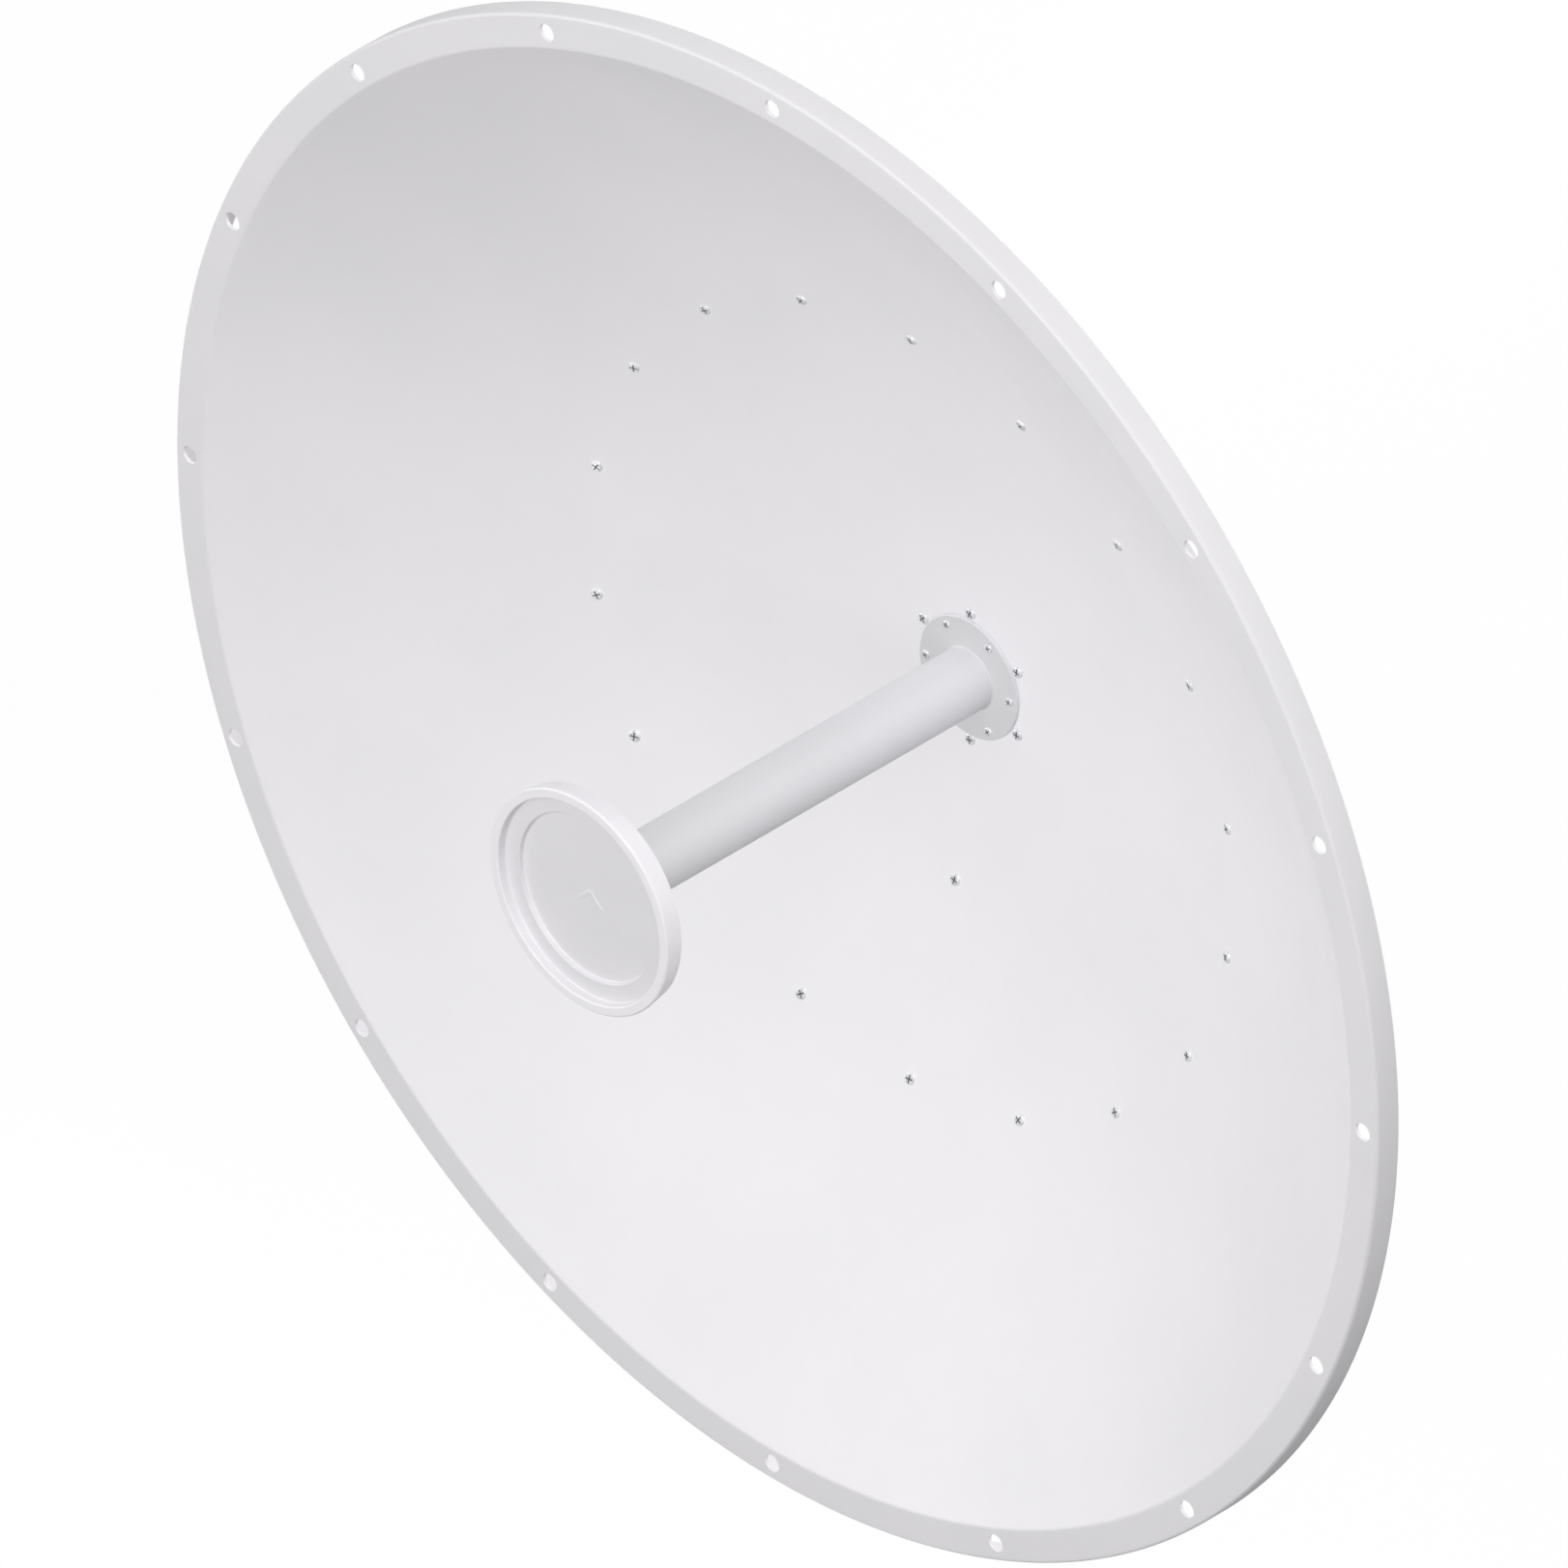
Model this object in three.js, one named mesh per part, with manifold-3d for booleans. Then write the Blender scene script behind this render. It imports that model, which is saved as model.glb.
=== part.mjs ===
// Parabolic dish antenna, one metre class, on a side-offset pole mount.
// Millimetres. +Z up, the beam leaves along -Y, +X to the right seen from behind the dish.
// Origin: on the axis of the pole that the clamps grip, midway between the two clamps.
import * as THREE from 'three';
import { mergeVertices } from 'three/addons/utils/BufferGeometryUtils.js';
import Module from 'manifold-3d';

const wasm = await Module();
wasm.setup();

// ---------- driving dimensions ----------
// reflector
const RIM_R = 525;            // outer radius of the dish
const FOCAL = 358;            // focal length of the paraboloid
const SKIN = 2.3;             // sheet thickness
const RIM_Y = -176.7;         // front plane of the rim, from the vertex
const SKIRT = 19.4;           // depth of the turned-back skirt
const RIM_HOLES = 16;
const RIM_HOLE_R = 6.0;
const RIM_HOLE_PITCH_R = 512.5;
const HUB_FLAT_Y = -1.0;      // the flat seat pressed in the middle
const CENTRE_HOLE_R = 21.8;
// feed
const TUBE_R = 21.3;
const TUBE_BORE_R = 19.5;
const TUBE_FRONT_Y = -304;
const FLANGE_R = 42.6;
const FLANGE_FRONT_Y = -5.0;
const FLANGE_SCREW_PCR = 36.4;
const HUB_SCREW_PCR = 47.5;
const CAP_FRONT_Y = -345.5;
const CAP_BACK_Y = -330.5;
const CAP_R = 78;
const CAP_BACK_R = 75.5;
const POCKET1_R = 70.6;
const POCKET1_Y = -339;
const POCKET2_R = 58.4;
const POCKET2_Y = -335.4;
const SUBREFLECTOR_R = 72.6;
// back ring
const RING_OUT_R = 294;
const RING_WEB_R = 250;
const RING_BORE_R = 232;
const RING_WEB_Y = 12;
const SHEET = 2.5;
// pole mount
const DISH_X = 190;           // dish axis, to the right of the pole
const DISH_Y = -157.5;          // vertex, in front of the pole
const DISH_Z = 80;            // dish axis, above the middle of the clamps
const POLE_R = 38;            // nominal pole
const V_Y = POLE_R / Math.sin(Math.PI / 3); // root of a 120 degree V from the pole axis
const EL_Y = -96;             // elevation pivot
const EL_Z = 60;
const AZ_Y = -88;             // azimuth pivot
const EL_LOCK_R = 46;         // lock bolt below the elevation pivot
const AZ_LOCK_R = 24;         // lock bolt in front of the azimuth pivot
const ROD_ARM = 90;           // adjuster pin below the elevation pivot
const TILT = 10;              // degrees either way, both pivots
const CLAMP_Z = 75;
const CLAMP_BOLT_X = 52;
const JAW_T = 5;
const GAP = 0.3;
// fasteners
const M10 = 5, M10_HOLE = 5.3, M10_HEX = 9.6;
const M8 = 4, M8_HOLE = 4.4, M8_HEX = 7.4;

// ---------- tools for solids ----------
function solid(geometry) {
  const flat = geometry.index ? geometry.toNonIndexed() : geometry.clone();
  const bare = new THREE.BufferGeometry().setAttribute('position', flat.getAttribute('position'));
  const merged = mergeVertices(bare, 1e-3);
  const ix = merged.index.array;
  const keep = [];
  for (let i = 0; i < ix.length; i += 3)
    if (ix[i] !== ix[i + 1] && ix[i + 1] !== ix[i + 2] && ix[i] !== ix[i + 2]) keep.push(ix[i], ix[i + 1], ix[i + 2]);
  const make = (t) => new wasm.Manifold(new wasm.Mesh({
    numProp: 3,
    vertProperties: new Float32Array(merged.attributes.position.array),
    triVerts: new Uint32Array(t),
  }));
  const s = make(keep);
  if (s.volume() > 0) return s;
  for (let i = 0; i < keep.length; i += 3) [keep[i + 1], keep[i + 2]] = [keep[i + 2], keep[i + 1]];
  return make(keep);
}
const join = (...s) => s.reduce((a, b) => a.add(b));
const cut = (a, ...s) => s.reduce((x, y) => x.subtract(y), a);

// body of revolution about Y; profile is a list of [radius, y]
const turned = (profile, n, closed = true) =>
  solid(new THREE.LatheGeometry((closed ? [...profile, profile[0]] : profile).map(([r, y]) => new THREE.Vector2(r, y)), n));

const UP = new THREE.Vector3(0, 1, 0);
const DIR = { x: new THREE.Vector3(1, 0, 0), y: UP, z: new THREE.Vector3(0, 0, 1) };
// round bar along an axis from a to b; c holds the two other coordinates in x, y, z order
function bar(axis, r, a, b, c, n = 16, r2 = r) {
  const g = new THREE.CylinderGeometry(r2, r, Math.abs(b - a), n);
  g.applyQuaternion(new THREE.Quaternion().setFromUnitVectors(UP, DIR[axis]));
  const m = (a + b) / 2;
  if (axis === 'x') g.translate(m, c[0], c[1]);
  if (axis === 'y') g.translate(c[0], m, c[1]);
  if (axis === 'z') g.translate(c[0], c[1], m);
  return solid(g);
}
const box = (x0, x1, y0, y1, z0, z1) =>
  solid(new THREE.BoxGeometry(x1 - x0, y1 - y0, z1 - z0).translate((x0 + x1) / 2, (y0 + y1) / 2, (z0 + z1) / 2));
// flat plate: outline in the plane across the axis, from a to b along it
function plate(axis, outline, a, b) {
  const pts = axis === 'y' ? outline.map(([x, z]) => [z, x]) : outline;
  const g = new THREE.ExtrudeGeometry(new THREE.Shape(pts.map(([u, v]) => new THREE.Vector2(u, v))), { depth: b - a, bevelEnabled: false });
  g.translate(0, 0, a);
  const { x, y, z } = DIR;
  const basis = axis === 'x' ? [y, z, x] : axis === 'y' ? [z, x, y] : [x, y, z];
  g.applyMatrix4(new THREE.Matrix4().makeBasis(...basis));
  return solid(g);
}
const arc = (cu, cv, r, d0, d1, n) =>
  Array.from({ length: n + 1 }, (_, i) => {
    const t = THREE.MathUtils.degToRad(d0 + ((d1 - d0) * i) / n);
    return [cu + r * Math.cos(t), cv + r * Math.sin(t)];
  });
// outline of a curved slot about (cu, cv), round at both ends
function curvedSlot(cu, cv, R, mid, half, w) {
  const end = (deg, from) => {
    const t = THREE.MathUtils.degToRad(deg);
    return arc(cu + R * Math.cos(t), cv + R * Math.sin(t), w, from, from + 180, 6);
  };
  return [
    ...arc(cu, cv, R + w, mid - half, mid + half, 4),
    ...end(mid + half, mid + half).slice(1, -1),
    ...arc(cu, cv, R - w, mid + half, mid - half, 4),
    ...end(mid - half, mid - half + 180).slice(1, -1),
  ];
}

const root = new THREE.Group();
root.name = 'parabolic_dish_antenna';
const dish = new THREE.Group();
dish.position.set(DISH_X, DISH_Y, DISH_Z);
root.add(dish);

const FINISH = {
  white_paint: { color: 0xe6e5e8, roughness: 0.45, metalness: 0.0 },
  white_plastic: { color: 0xe8e7ea, roughness: 0.5, metalness: 0.0 },
  light_alloy: { color: 0xc9cccf, roughness: 0.4, metalness: 0.8 },
  zinc_steel: { color: 0xa9adb2, roughness: 0.35, metalness: 0.9 },
  dielectric: { color: 0xf2f0ea, roughness: 0.6, metalness: 0.0 },
  gasket_rubber: { color: 0x2b2c2e, roughness: 0.9, metalness: 0.0 },
  brass_plate: { color: 0xc9a75a, roughness: 0.3, metalness: 1.0 },
};
function node(parent, name, s, finish) {
  const m = s.getMesh();
  const g = new THREE.BufferGeometry();
  g.setAttribute('position', new THREE.BufferAttribute(new Float32Array(m.vertProperties), 3));
  g.setIndex(new THREE.BufferAttribute(new Uint32Array(m.triVerts), 1));
  g.computeVertexNormals();
  const mesh = new THREE.Mesh(g, new THREE.MeshStandardMaterial(FINISH[finish]));
  mesh.name = name;
  parent.add(mesh);
  return mesh;
}
const polar = (r, deg) => {
  const t = THREE.MathUtils.degToRad(deg);
  return [r * Math.cos(t), r * Math.sin(t)];
};

// ---------- reflector ----------
const front = (r) => -(r * r) / (4 * FOCAL);
const lean = (r) => Math.atan(r / (2 * FOCAL));
const back = (r) => front(r) + SKIN / Math.cos(lean(r)); // height of the rear face, straight behind
const N = 64;
const flatR = Math.sqrt(-HUB_FLAT_Y * 4 * FOCAL);
const stations = [flatR, 60, 104, 158, 216, 272, 324, 372, 418, 461, 501.6];
{
  const face = stations.map((r) => [r, front(r)]);
  const rear = stations.map((r) => [r + SKIN * Math.sin(lean(r)), front(r) + SKIN * Math.cos(lean(r))]).reverse();
  rear[rear.length - 1] = [flatR, HUB_FLAT_Y + SKIN];
  const profile = [
    [CENTRE_HOLE_R, HUB_FLAT_Y],
    ...face,
    [503.6, RIM_Y],
    [RIM_R - 1.4, RIM_Y],
    [RIM_R, RIM_Y + 1.4],
    [RIM_R, RIM_Y + SKIRT],
    [RIM_R - SKIN, RIM_Y + SKIRT],
    [RIM_R - SKIN, RIM_Y + SKIN],
    [504.6, RIM_Y + SKIN],
    ...rear,
    [CENTRE_HOLE_R, HUB_FLAT_Y + SKIN],
  ];
  const holes = [];
  for (let i = 0; i < RIM_HOLES; i++) holes.push(bar('y', RIM_HOLE_R, RIM_Y - 3, RIM_Y + 8, polar(RIM_HOLE_PITCH_R, i * 22.5), 8));
  for (let i = 0; i < 6; i++) {
    holes.push(bar('y', 1.9, -8, 6, polar(HUB_SCREW_PCR, 30 + 60 * i), 6));
    holes.push(bar('y', 1.9, -8, 6, polar(FLANGE_SCREW_PCR, 60 * i), 6));
  }
  holes.push(bar('y', 2.4, -26, -4, [0, -148], 8));
  node(dish, 'reflector', cut(turned(profile, N), ...holes), 'white_paint');
}

// ---------- feed, from the back forwards ----------
const HUB_Y0 = HUB_FLAT_Y + SKIN + GAP, HUB_Y1 = HUB_Y0 + 5;
const SIX = [0, 1, 2, 3, 4, 5];
node(dish, 'hub_plate', cut(
  turned([[CENTRE_HOLE_R, HUB_Y0], [55, HUB_Y0], [55, HUB_Y1], [CENTRE_HOLE_R, HUB_Y1]], 32),
  ...SIX.map((i) => bar('y', 1.9, 0, 9, polar(HUB_SCREW_PCR, 30 + 60 * i), 6)),
  ...SIX.map((i) => bar('y', 1.9, 0, 9, polar(FLANGE_SCREW_PCR, 60 * i), 6)),
), 'light_alloy');

node(dish, 'feed_gasket', turned([[CENTRE_HOLE_R, -2.0], [33, -2.0], [33, -1.3], [CENTRE_HOLE_R, -1.3]], 24), 'gasket_rubber');

node(dish, 'feed_tube', cut(
  turned([
    [TUBE_BORE_R, TUBE_FRONT_Y], [TUBE_R, TUBE_FRONT_Y], [TUBE_R, FLANGE_FRONT_Y - 1.6],
    [TUBE_R + 1.6, FLANGE_FRONT_Y], [FLANGE_R - 0.8, FLANGE_FRONT_Y], [FLANGE_R, FLANGE_FRONT_Y + 0.8], [FLANGE_R, -2.3],
    [TUBE_R, -2.3], [TUBE_R, 25], [TUBE_BORE_R, 25],
  ], 24),
  ...SIX.map((i) => bar('y', 1.9, -8, 0, polar(FLANGE_SCREW_PCR, 60 * i), 6)),
), 'white_paint');

node(dish, 'feed_cone', turned([
  [TUBE_BORE_R - GAP, -284], [TUBE_BORE_R - GAP, TUBE_FRONT_Y - GAP], [TUBE_R + 1.5, TUBE_FRONT_Y - GAP], [TUBE_R + 1.5, -309],
  [30, -318], [48, -328], [50, -330.3], [12, -330.3], [9, -300], [14, -284],
], 20), 'dielectric');

node(dish, 'sub_reflector', turned([
  [0, -330.8], [SUBREFLECTOR_R, -330.8], [SUBREFLECTOR_R, -332.9], [0, -332.9],
], 32, false), 'light_alloy');

node(dish, 'feed_cap', turned([
  [0, POCKET2_Y], [POCKET2_R, POCKET2_Y], [POCKET2_R, POCKET1_Y], [POCKET1_R, POCKET1_Y], [POCKET1_R, CAP_FRONT_Y],
  [CAP_R - 1.2, CAP_FRONT_Y], [CAP_R, CAP_FRONT_Y + 1.2], [CAP_BACK_R, CAP_BACK_Y],
  [SUBREFLECTOR_R + 0.4, CAP_BACK_Y], [SUBREFLECTOR_R + 0.4, -333.2], [0, -333.2],
], 36, false), 'white_plastic');

const HOUSING_Y0 = HUB_Y1 + GAP;
node(dish, 'feed_housing', cut(
  turned([
    [TUBE_R + GAP, HOUSING_Y0], [44, HOUSING_Y0], [44, HOUSING_Y0 + 5], [30, HOUSING_Y0 + 6.5],
    [30, 58], [27, 61], [0, 61], [0, 54], [TUBE_BORE_R, 54], [TUBE_BORE_R, 25 + GAP], [TUBE_R + GAP, 25 + GAP],
  ], 24),
  ...SIX.map((i) => bar('y', 1.9, 0, HOUSING_Y0 + 4, polar(FLANGE_SCREW_PCR, 60 * i), 6)),
  bar('z', 3.3, -34, 0, [0, 36], 10),
  bar('x', 3.3, 0, 34, [46, 0], 10),
), 'light_alloy');

// coaxial jack: square base, threaded barrel with an open mouth, pin through into the waveguide
function jack() {
  return cut(
    join(box(-8, 8, 30.3, 33.3, -8, 8), bar('y', 5.6, 33, 46, [0, 0], 12), bar('y', 3.0, 10, 31, [0, 0], 8)),
    cut(bar('y', 4.4, 36, 50, [0, 0], 12), bar('y', 1.0, 34, 44, [0, 0], 6)),
  );
}
const jackV = node(dish, 'rf_jack_vertical', jack(), 'brass_plate');
jackV.rotation.set(-Math.PI / 2, 0, 0);
jackV.position.set(0, 36, 0);
const jackH = node(dish, 'rf_jack_horizontal', jack(), 'brass_plate');
jackH.rotation.set(0, 0, -Math.PI / 2);
jackH.position.set(0, 46, 0);

// pan head screw, head towards -Y, seat at y = 0
const screw = (headR, headH, shankR, length) => turned([
  [0, -headH], [headR * 0.7, -headH], [headR, 0], [shankR, 0], [shankR, length], [0, length],
], 6, false);
for (const i of SIX) {
  const h = node(dish, `hub_screw_${i + 1}`, screw(3.9, 2.4, 1.6, 9), 'zinc_steel');
  const [hx, hz] = polar(HUB_SCREW_PCR, 30 + 60 * i);
  h.position.set(hx, front(HUB_SCREW_PCR + 4) - 0.5, hz);
  const f = node(dish, `flange_screw_${i + 1}`, screw(3.0, 2.0, 1.6, 15), 'zinc_steel');
  const [fx, fz] = polar(FLANGE_SCREW_PCR, 60 * i);
  f.position.set(fx, FLANGE_FRONT_Y - GAP, fz);
}

// ---------- radio mount, on the back of the reflector below the hub ----------
{
  const z0 = -148, tilt = lean(148);
  const foot = solid(new THREE.CylinderGeometry(11, 11, 33, 16).translate(0, SKIN + 0.5 + 16.5, 0).rotateX(-tilt).translate(0, front(148), z0));
  const legTop = -108, legLow = -200;
  const clear = (z) => back(-z) + 1.0;
  let s = join(
    plate('y', [[-29, legLow], [29, legLow], [29, legTop], [-29, legTop]], 18, 21),
    foot,
    box(-22, 22, clear(legTop) + 0.8, 20, legTop - 3, legTop),
    box(-22, 22, clear(legLow), 20, legLow, legLow + 3),
    box(-34, -26, 21 - 0.5, 24, legLow + 8, legTop - 8),
    box(26, 34, 21 - 0.5, 24, legLow + 8, legTop - 8),
  );
  // trim everything behind the rail's rear face, then open the screw hole and the slot for the clip
  s = cut(s, box(-25, 25, 21, 60, legLow - 5, legTop + 5),
    solid(new THREE.CylinderGeometry(2.0, 2.0, 40, 8).rotateX(-tilt).translate(0, front(148), z0)),
    box(-12, 12, 16, 23, -186, -178), box(-12, 12, 16, 23, -126, -118));
  node(dish, 'radio_mount', s, 'white_paint');
  const sc = node(dish, 'radio_mount_screw', screw(3.9, 2.4, 1.6, 14), 'zinc_steel');
  sc.rotation.set(-tilt, 0, 0);
  sc.position.set(0, front(148) - 0.8 * Math.cos(tilt), z0 + 0.8 * Math.sin(tilt));
}

// ---------- back ring ----------
const CHANNEL_Z = 66;
const FRAME_BOLTS = [[-219.3, 100], [-219.3, -100], [231.8, CHANNEL_Z], [231.8, -CHANNEL_Z]];
{
  const F = (r) => back(r) + 0.6;
  const s = turned([
    [RING_OUT_R, F(RING_OUT_R)], [266.4, F(266.4)], [RING_WEB_R - SHEET, RING_WEB_Y], [RING_BORE_R + SHEET, RING_WEB_Y], [RING_BORE_R + SHEET, 2],
    [RING_BORE_R, 2], [RING_BORE_R, RING_WEB_Y + SHEET], [RING_WEB_R, RING_WEB_Y + SHEET], [268.9, F(268.9) + SHEET + 0.1], [RING_OUT_R, F(RING_OUT_R) + SHEET + 0.1],
  ], 56);
  const holes = [];
  for (const c of FRAME_BOLTS) holes.push(bar('y', M8_HOLE, 10, 20, c, 10));
  node(dish, 'back_ring', cut(s, ...holes), 'zinc_steel');
}

// ---------- mount frame: plate, ears and two cross channels, one weldment ----------
const PX = -DISH_X;           // pole axis, in the dish's frame
const FY0 = RING_WEB_Y + SHEET + GAP, FY1 = FY0 + 4;
const ely = EL_Y - DISH_Y, elz = EL_Z - DISH_Z; // elevation pivot, in the dish's frame
{
  const web = plate('y', [[-252, -90], [-246, -112], [-222, -128], [-158, -128], [-120, -104], [-120, 104], [-134, 114], [-240, 114], [-252, 98]], FY0, FY1);
  const earOutline = [
    [FY1 - 2, -86], [ely + 12, -86], [ely + 20, -78], [ely + 20, -52], [ely + 17.5, -36],
    ...arc(ely, elz, 18, -30, 90, 6), [ely - 18, elz + 22], [FY1 - 2, elz + 30],
  ];
  const ear = (x) => plate('x', earOutline, x, x + 4);
  const channel = (z) => cut(box(PX + 47, 240, FY0, FY0 + 11, z - 10, z + 10), box(PX + 30, 260, FY0 + 3, FY0 + 30, z - 7.5, z + 7.5));
  const slot = plate('x', curvedSlot(ely, elz, EL_LOCK_R, -90, TILT, M8_HOLE + 0.1), PX - 60, PX + 60);
  let s = join(web, ear(PX - 45), ear(PX + 41), channel(CHANNEL_Z), channel(-CHANNEL_Z));
  s = cut(s, slot, bar('x', M10_HOLE, PX - 60, PX + 60, [ely, elz], 16),
    bar('y', M8_HOLE, 0, 40, [PX, elz - ROD_ARM], 12),
    ...FRAME_BOLTS.map((c) => bar('y', M8_HOLE, 0, 27, c, 10)));
  node(dish, 'mount_frame', s, 'zinc_steel');
  FRAME_BOLTS.forEach((c, i) => {
    const seat = (c[0] < 0 ? FY1 : FY0 + 3) + GAP;
    node(dish, `frame_bolt_${i + 1}`, join(bar('y', M8_HEX, seat, seat + 5.3, c, 6), bar('y', M8, 4, seat + 1, c, 10)), 'zinc_steel');
  });
}

// ---------- elevation adjuster ----------
const nutY = (y0, y1, x, z, bore = M8 + 0.6, hex = M8_HEX) => cut(bar('y', hex, y0, y1, [x, z], 6), bar('y', bore, y0 - 1, y1 + 1, [x, z], 8));
const PIN_Z = EL_Z - ROD_ARM;
const PLATE_REAR = DISH_Y + FY1, PLATE_FRONT = DISH_Y + FY0;
node(root, 'adjuster_nut_rear', nutY(PLATE_REAR + GAP, PLATE_REAR + GAP + 6.5, 0, PIN_Z), 'zinc_steel');
node(root, 'adjuster_nut_front', nutY(PLATE_FRONT - GAP - 6.5, PLATE_FRONT - GAP, 0, PIN_Z), 'zinc_steel');
node(root, 'elevation_rod', cut(
  join(bar('x', 9.5, -8, 8, [EL_Y, PIN_Z], 16), bar('y', M8, EL_Y - 71, EL_Y - 6, [0, PIN_Z], 12)),
  bar('x', M10_HOLE, -12, 12, [EL_Y, PIN_Z], 16),
), 'zinc_steel');
node(root, 'elevation_rod_pin', bar('x', M10, -46, 46, [EL_Y, PIN_Z], 16), 'zinc_steel');

// ---------- azimuth bracket: two cheeks, a web and two flanges ----------
const CHEEK = 36, AZ_H = 84.7;
{
  const cheek = [[-110, -60], [-102, -AZ_H], [-72, -AZ_H], [-72, AZ_H], [-106, AZ_H], [-112, 70], [-112, -40]];
  const lid = [[-40, -74], [-40, -100], [-30, -118], [-18, -124], [18, -124], [30, -118], [40, -100], [40, -74]];
  const lidLow = [[-40, -74], [-40, -98], [-28, -106], [28, -106], [40, -98], [40, -74]]; // shorter, so the back ring swings past it
  const pinSlot = [...arc(EL_Y, PIN_Z, 5.4, 0, 180, 6), ...arc(EL_Y, PIN_Z - 1.6, 5.4, 180, 360, 6)];
  let s = join(
    plate('x', cheek, -CHEEK - 4, -CHEEK), plate('x', cheek, CHEEK, CHEEK + 4),
    box(-40, 40, -76, -72, -AZ_H, AZ_H),
    plate('z', lid, AZ_H - 4, AZ_H), plate('z', lidLow, -AZ_H, -AZ_H + 4),
  );
  s = cut(s,
    bar('x', M10_HOLE, -60, 60, [EL_Y, EL_Z], 16), bar('x', M8_HOLE, -60, 60, [EL_Y, EL_Z - EL_LOCK_R], 12),
    plate('x', pinSlot, -60, 60),
    bar('z', M10_HOLE, -100, 100, [0, AZ_Y], 16), bar('z', M8_HOLE, 60, 100, [0, AZ_Y - AZ_LOCK_R], 12),
    box(-20, 20, -80, -70, -58, 40),
  );
  node(root, 'azimuth_bracket', s, 'zinc_steel');
}
const boltX = (r, hex, z) => join(bar('x', hex, 45.3, 45.3 + r * 1.28, [EL_Y, z], 6), bar('x', r, -58, 46, [EL_Y, z], 16));
const nutX = (r, hex, z, h) => cut(bar('x', hex, -45.3 - h, -45.3, [EL_Y, z], 6), bar('x', r + GAP, -70, -40, [EL_Y, z], 16));
node(root, 'elevation_pivot_bolt', boltX(M10, M10_HEX, EL_Z), 'zinc_steel');
node(root, 'elevation_pivot_nut', nutX(M10, M10_HEX, EL_Z, 8), 'zinc_steel');
node(root, 'elevation_lock_bolt', boltX(M8, M8_HEX, EL_Z - EL_LOCK_R), 'zinc_steel');
node(root, 'elevation_lock_nut', nutX(M8, M8_HEX, EL_Z - EL_LOCK_R, 6.5), 'zinc_steel');

// ---------- pole bracket: wide web, four saddles with a V, two azimuth tabs ----------
const TAB_Z = 85, TAB_T = 5, WEB_Y0 = -50, WEB_Y1 = -46;
const boltZ = (r, hex, y, s) => join(bar('z', hex, s * (TAB_Z + TAB_T + GAP), s * (TAB_Z + TAB_T + GAP + r * 1.28), [0, y], 6), bar('z', r, s * 70, s * (TAB_Z + TAB_T + 1), [0, y], 16));
const nutZ = (r, hex, y, s, h) => cut(bar('z', hex, s * (AZ_H - 4 - GAP - h), s * (AZ_H - 4 - GAP), [0, y], 6), bar('z', r + GAP, s * 60, s * 84, [0, y], 16));
{
  const v = (y) => (y + V_Y) * Math.tan(Math.PI / 3);
  const END = -16;
  const saddle = [[-60, WEB_Y1 - 1], [60, WEB_Y1 - 1], [60, END], [v(END), END], [0, -V_Y], [-v(END), END], [-60, END]];
  const tab = [[-30, WEB_Y0 + 1], [-30, -110], [-20, -124], [20, -124], [30, -110], [30, WEB_Y0 + 1]];
  const tabLow = [[-30, WEB_Y0 + 1], [-30, -98], [-20, -106], [20, -106], [30, -98], [30, WEB_Y0 + 1]];
  const slot = curvedSlot(0, AZ_Y, AZ_LOCK_R, -90, TILT, M8_HOLE + 0.1);
  const parts = [box(-62, 62, WEB_Y0, WEB_Y1, -95, 95)];
  for (const s of [-1, 1]) {
    const z = (a, b) => (s > 0 ? [a, b] : [-b, -a]);
    parts.push(plate('z', saddle, ...z(TAB_Z, TAB_Z + TAB_T)), plate('z', saddle, ...z(57, 62)), plate('z', s > 0 ? tab : tabLow, ...z(TAB_Z, TAB_Z + TAB_T)));
  }
  const holes = [bar('z', M10_HOLE, -100, 100, [0, AZ_Y], 16), plate('z', slot, 80, 95), box(-24, 24, -60, -40, -42, 42)];
  for (const sx of [-1, 1]) for (const sz of [-1, 1]) holes.push(bar('y', M8_HOLE, -60, -40, [sx * CLAMP_BOLT_X, sz * CLAMP_Z], 12));
  node(root, 'pole_bracket', cut(join(...parts), ...holes), 'zinc_steel');
}
node(root, 'azimuth_pivot_bolt_upper', boltZ(M10, M10_HEX, AZ_Y, 1), 'zinc_steel');
node(root, 'azimuth_pivot_nut_upper', nutZ(M10, M10_HEX, AZ_Y, 1, 8), 'zinc_steel');
node(root, 'azimuth_pivot_bolt_lower', boltZ(M10, M10_HEX, AZ_Y, -1), 'zinc_steel');
node(root, 'azimuth_pivot_nut_lower', nutZ(M10, M10_HEX, AZ_Y, -1, 8), 'zinc_steel');
node(root, 'azimuth_lock_bolt', boltZ(M8, M8_HEX, AZ_Y - AZ_LOCK_R, 1), 'zinc_steel');
node(root, 'azimuth_lock_nut', nutZ(M8, M8_HEX, AZ_Y - AZ_LOCK_R, 1, 6.5), 'zinc_steel');

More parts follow.
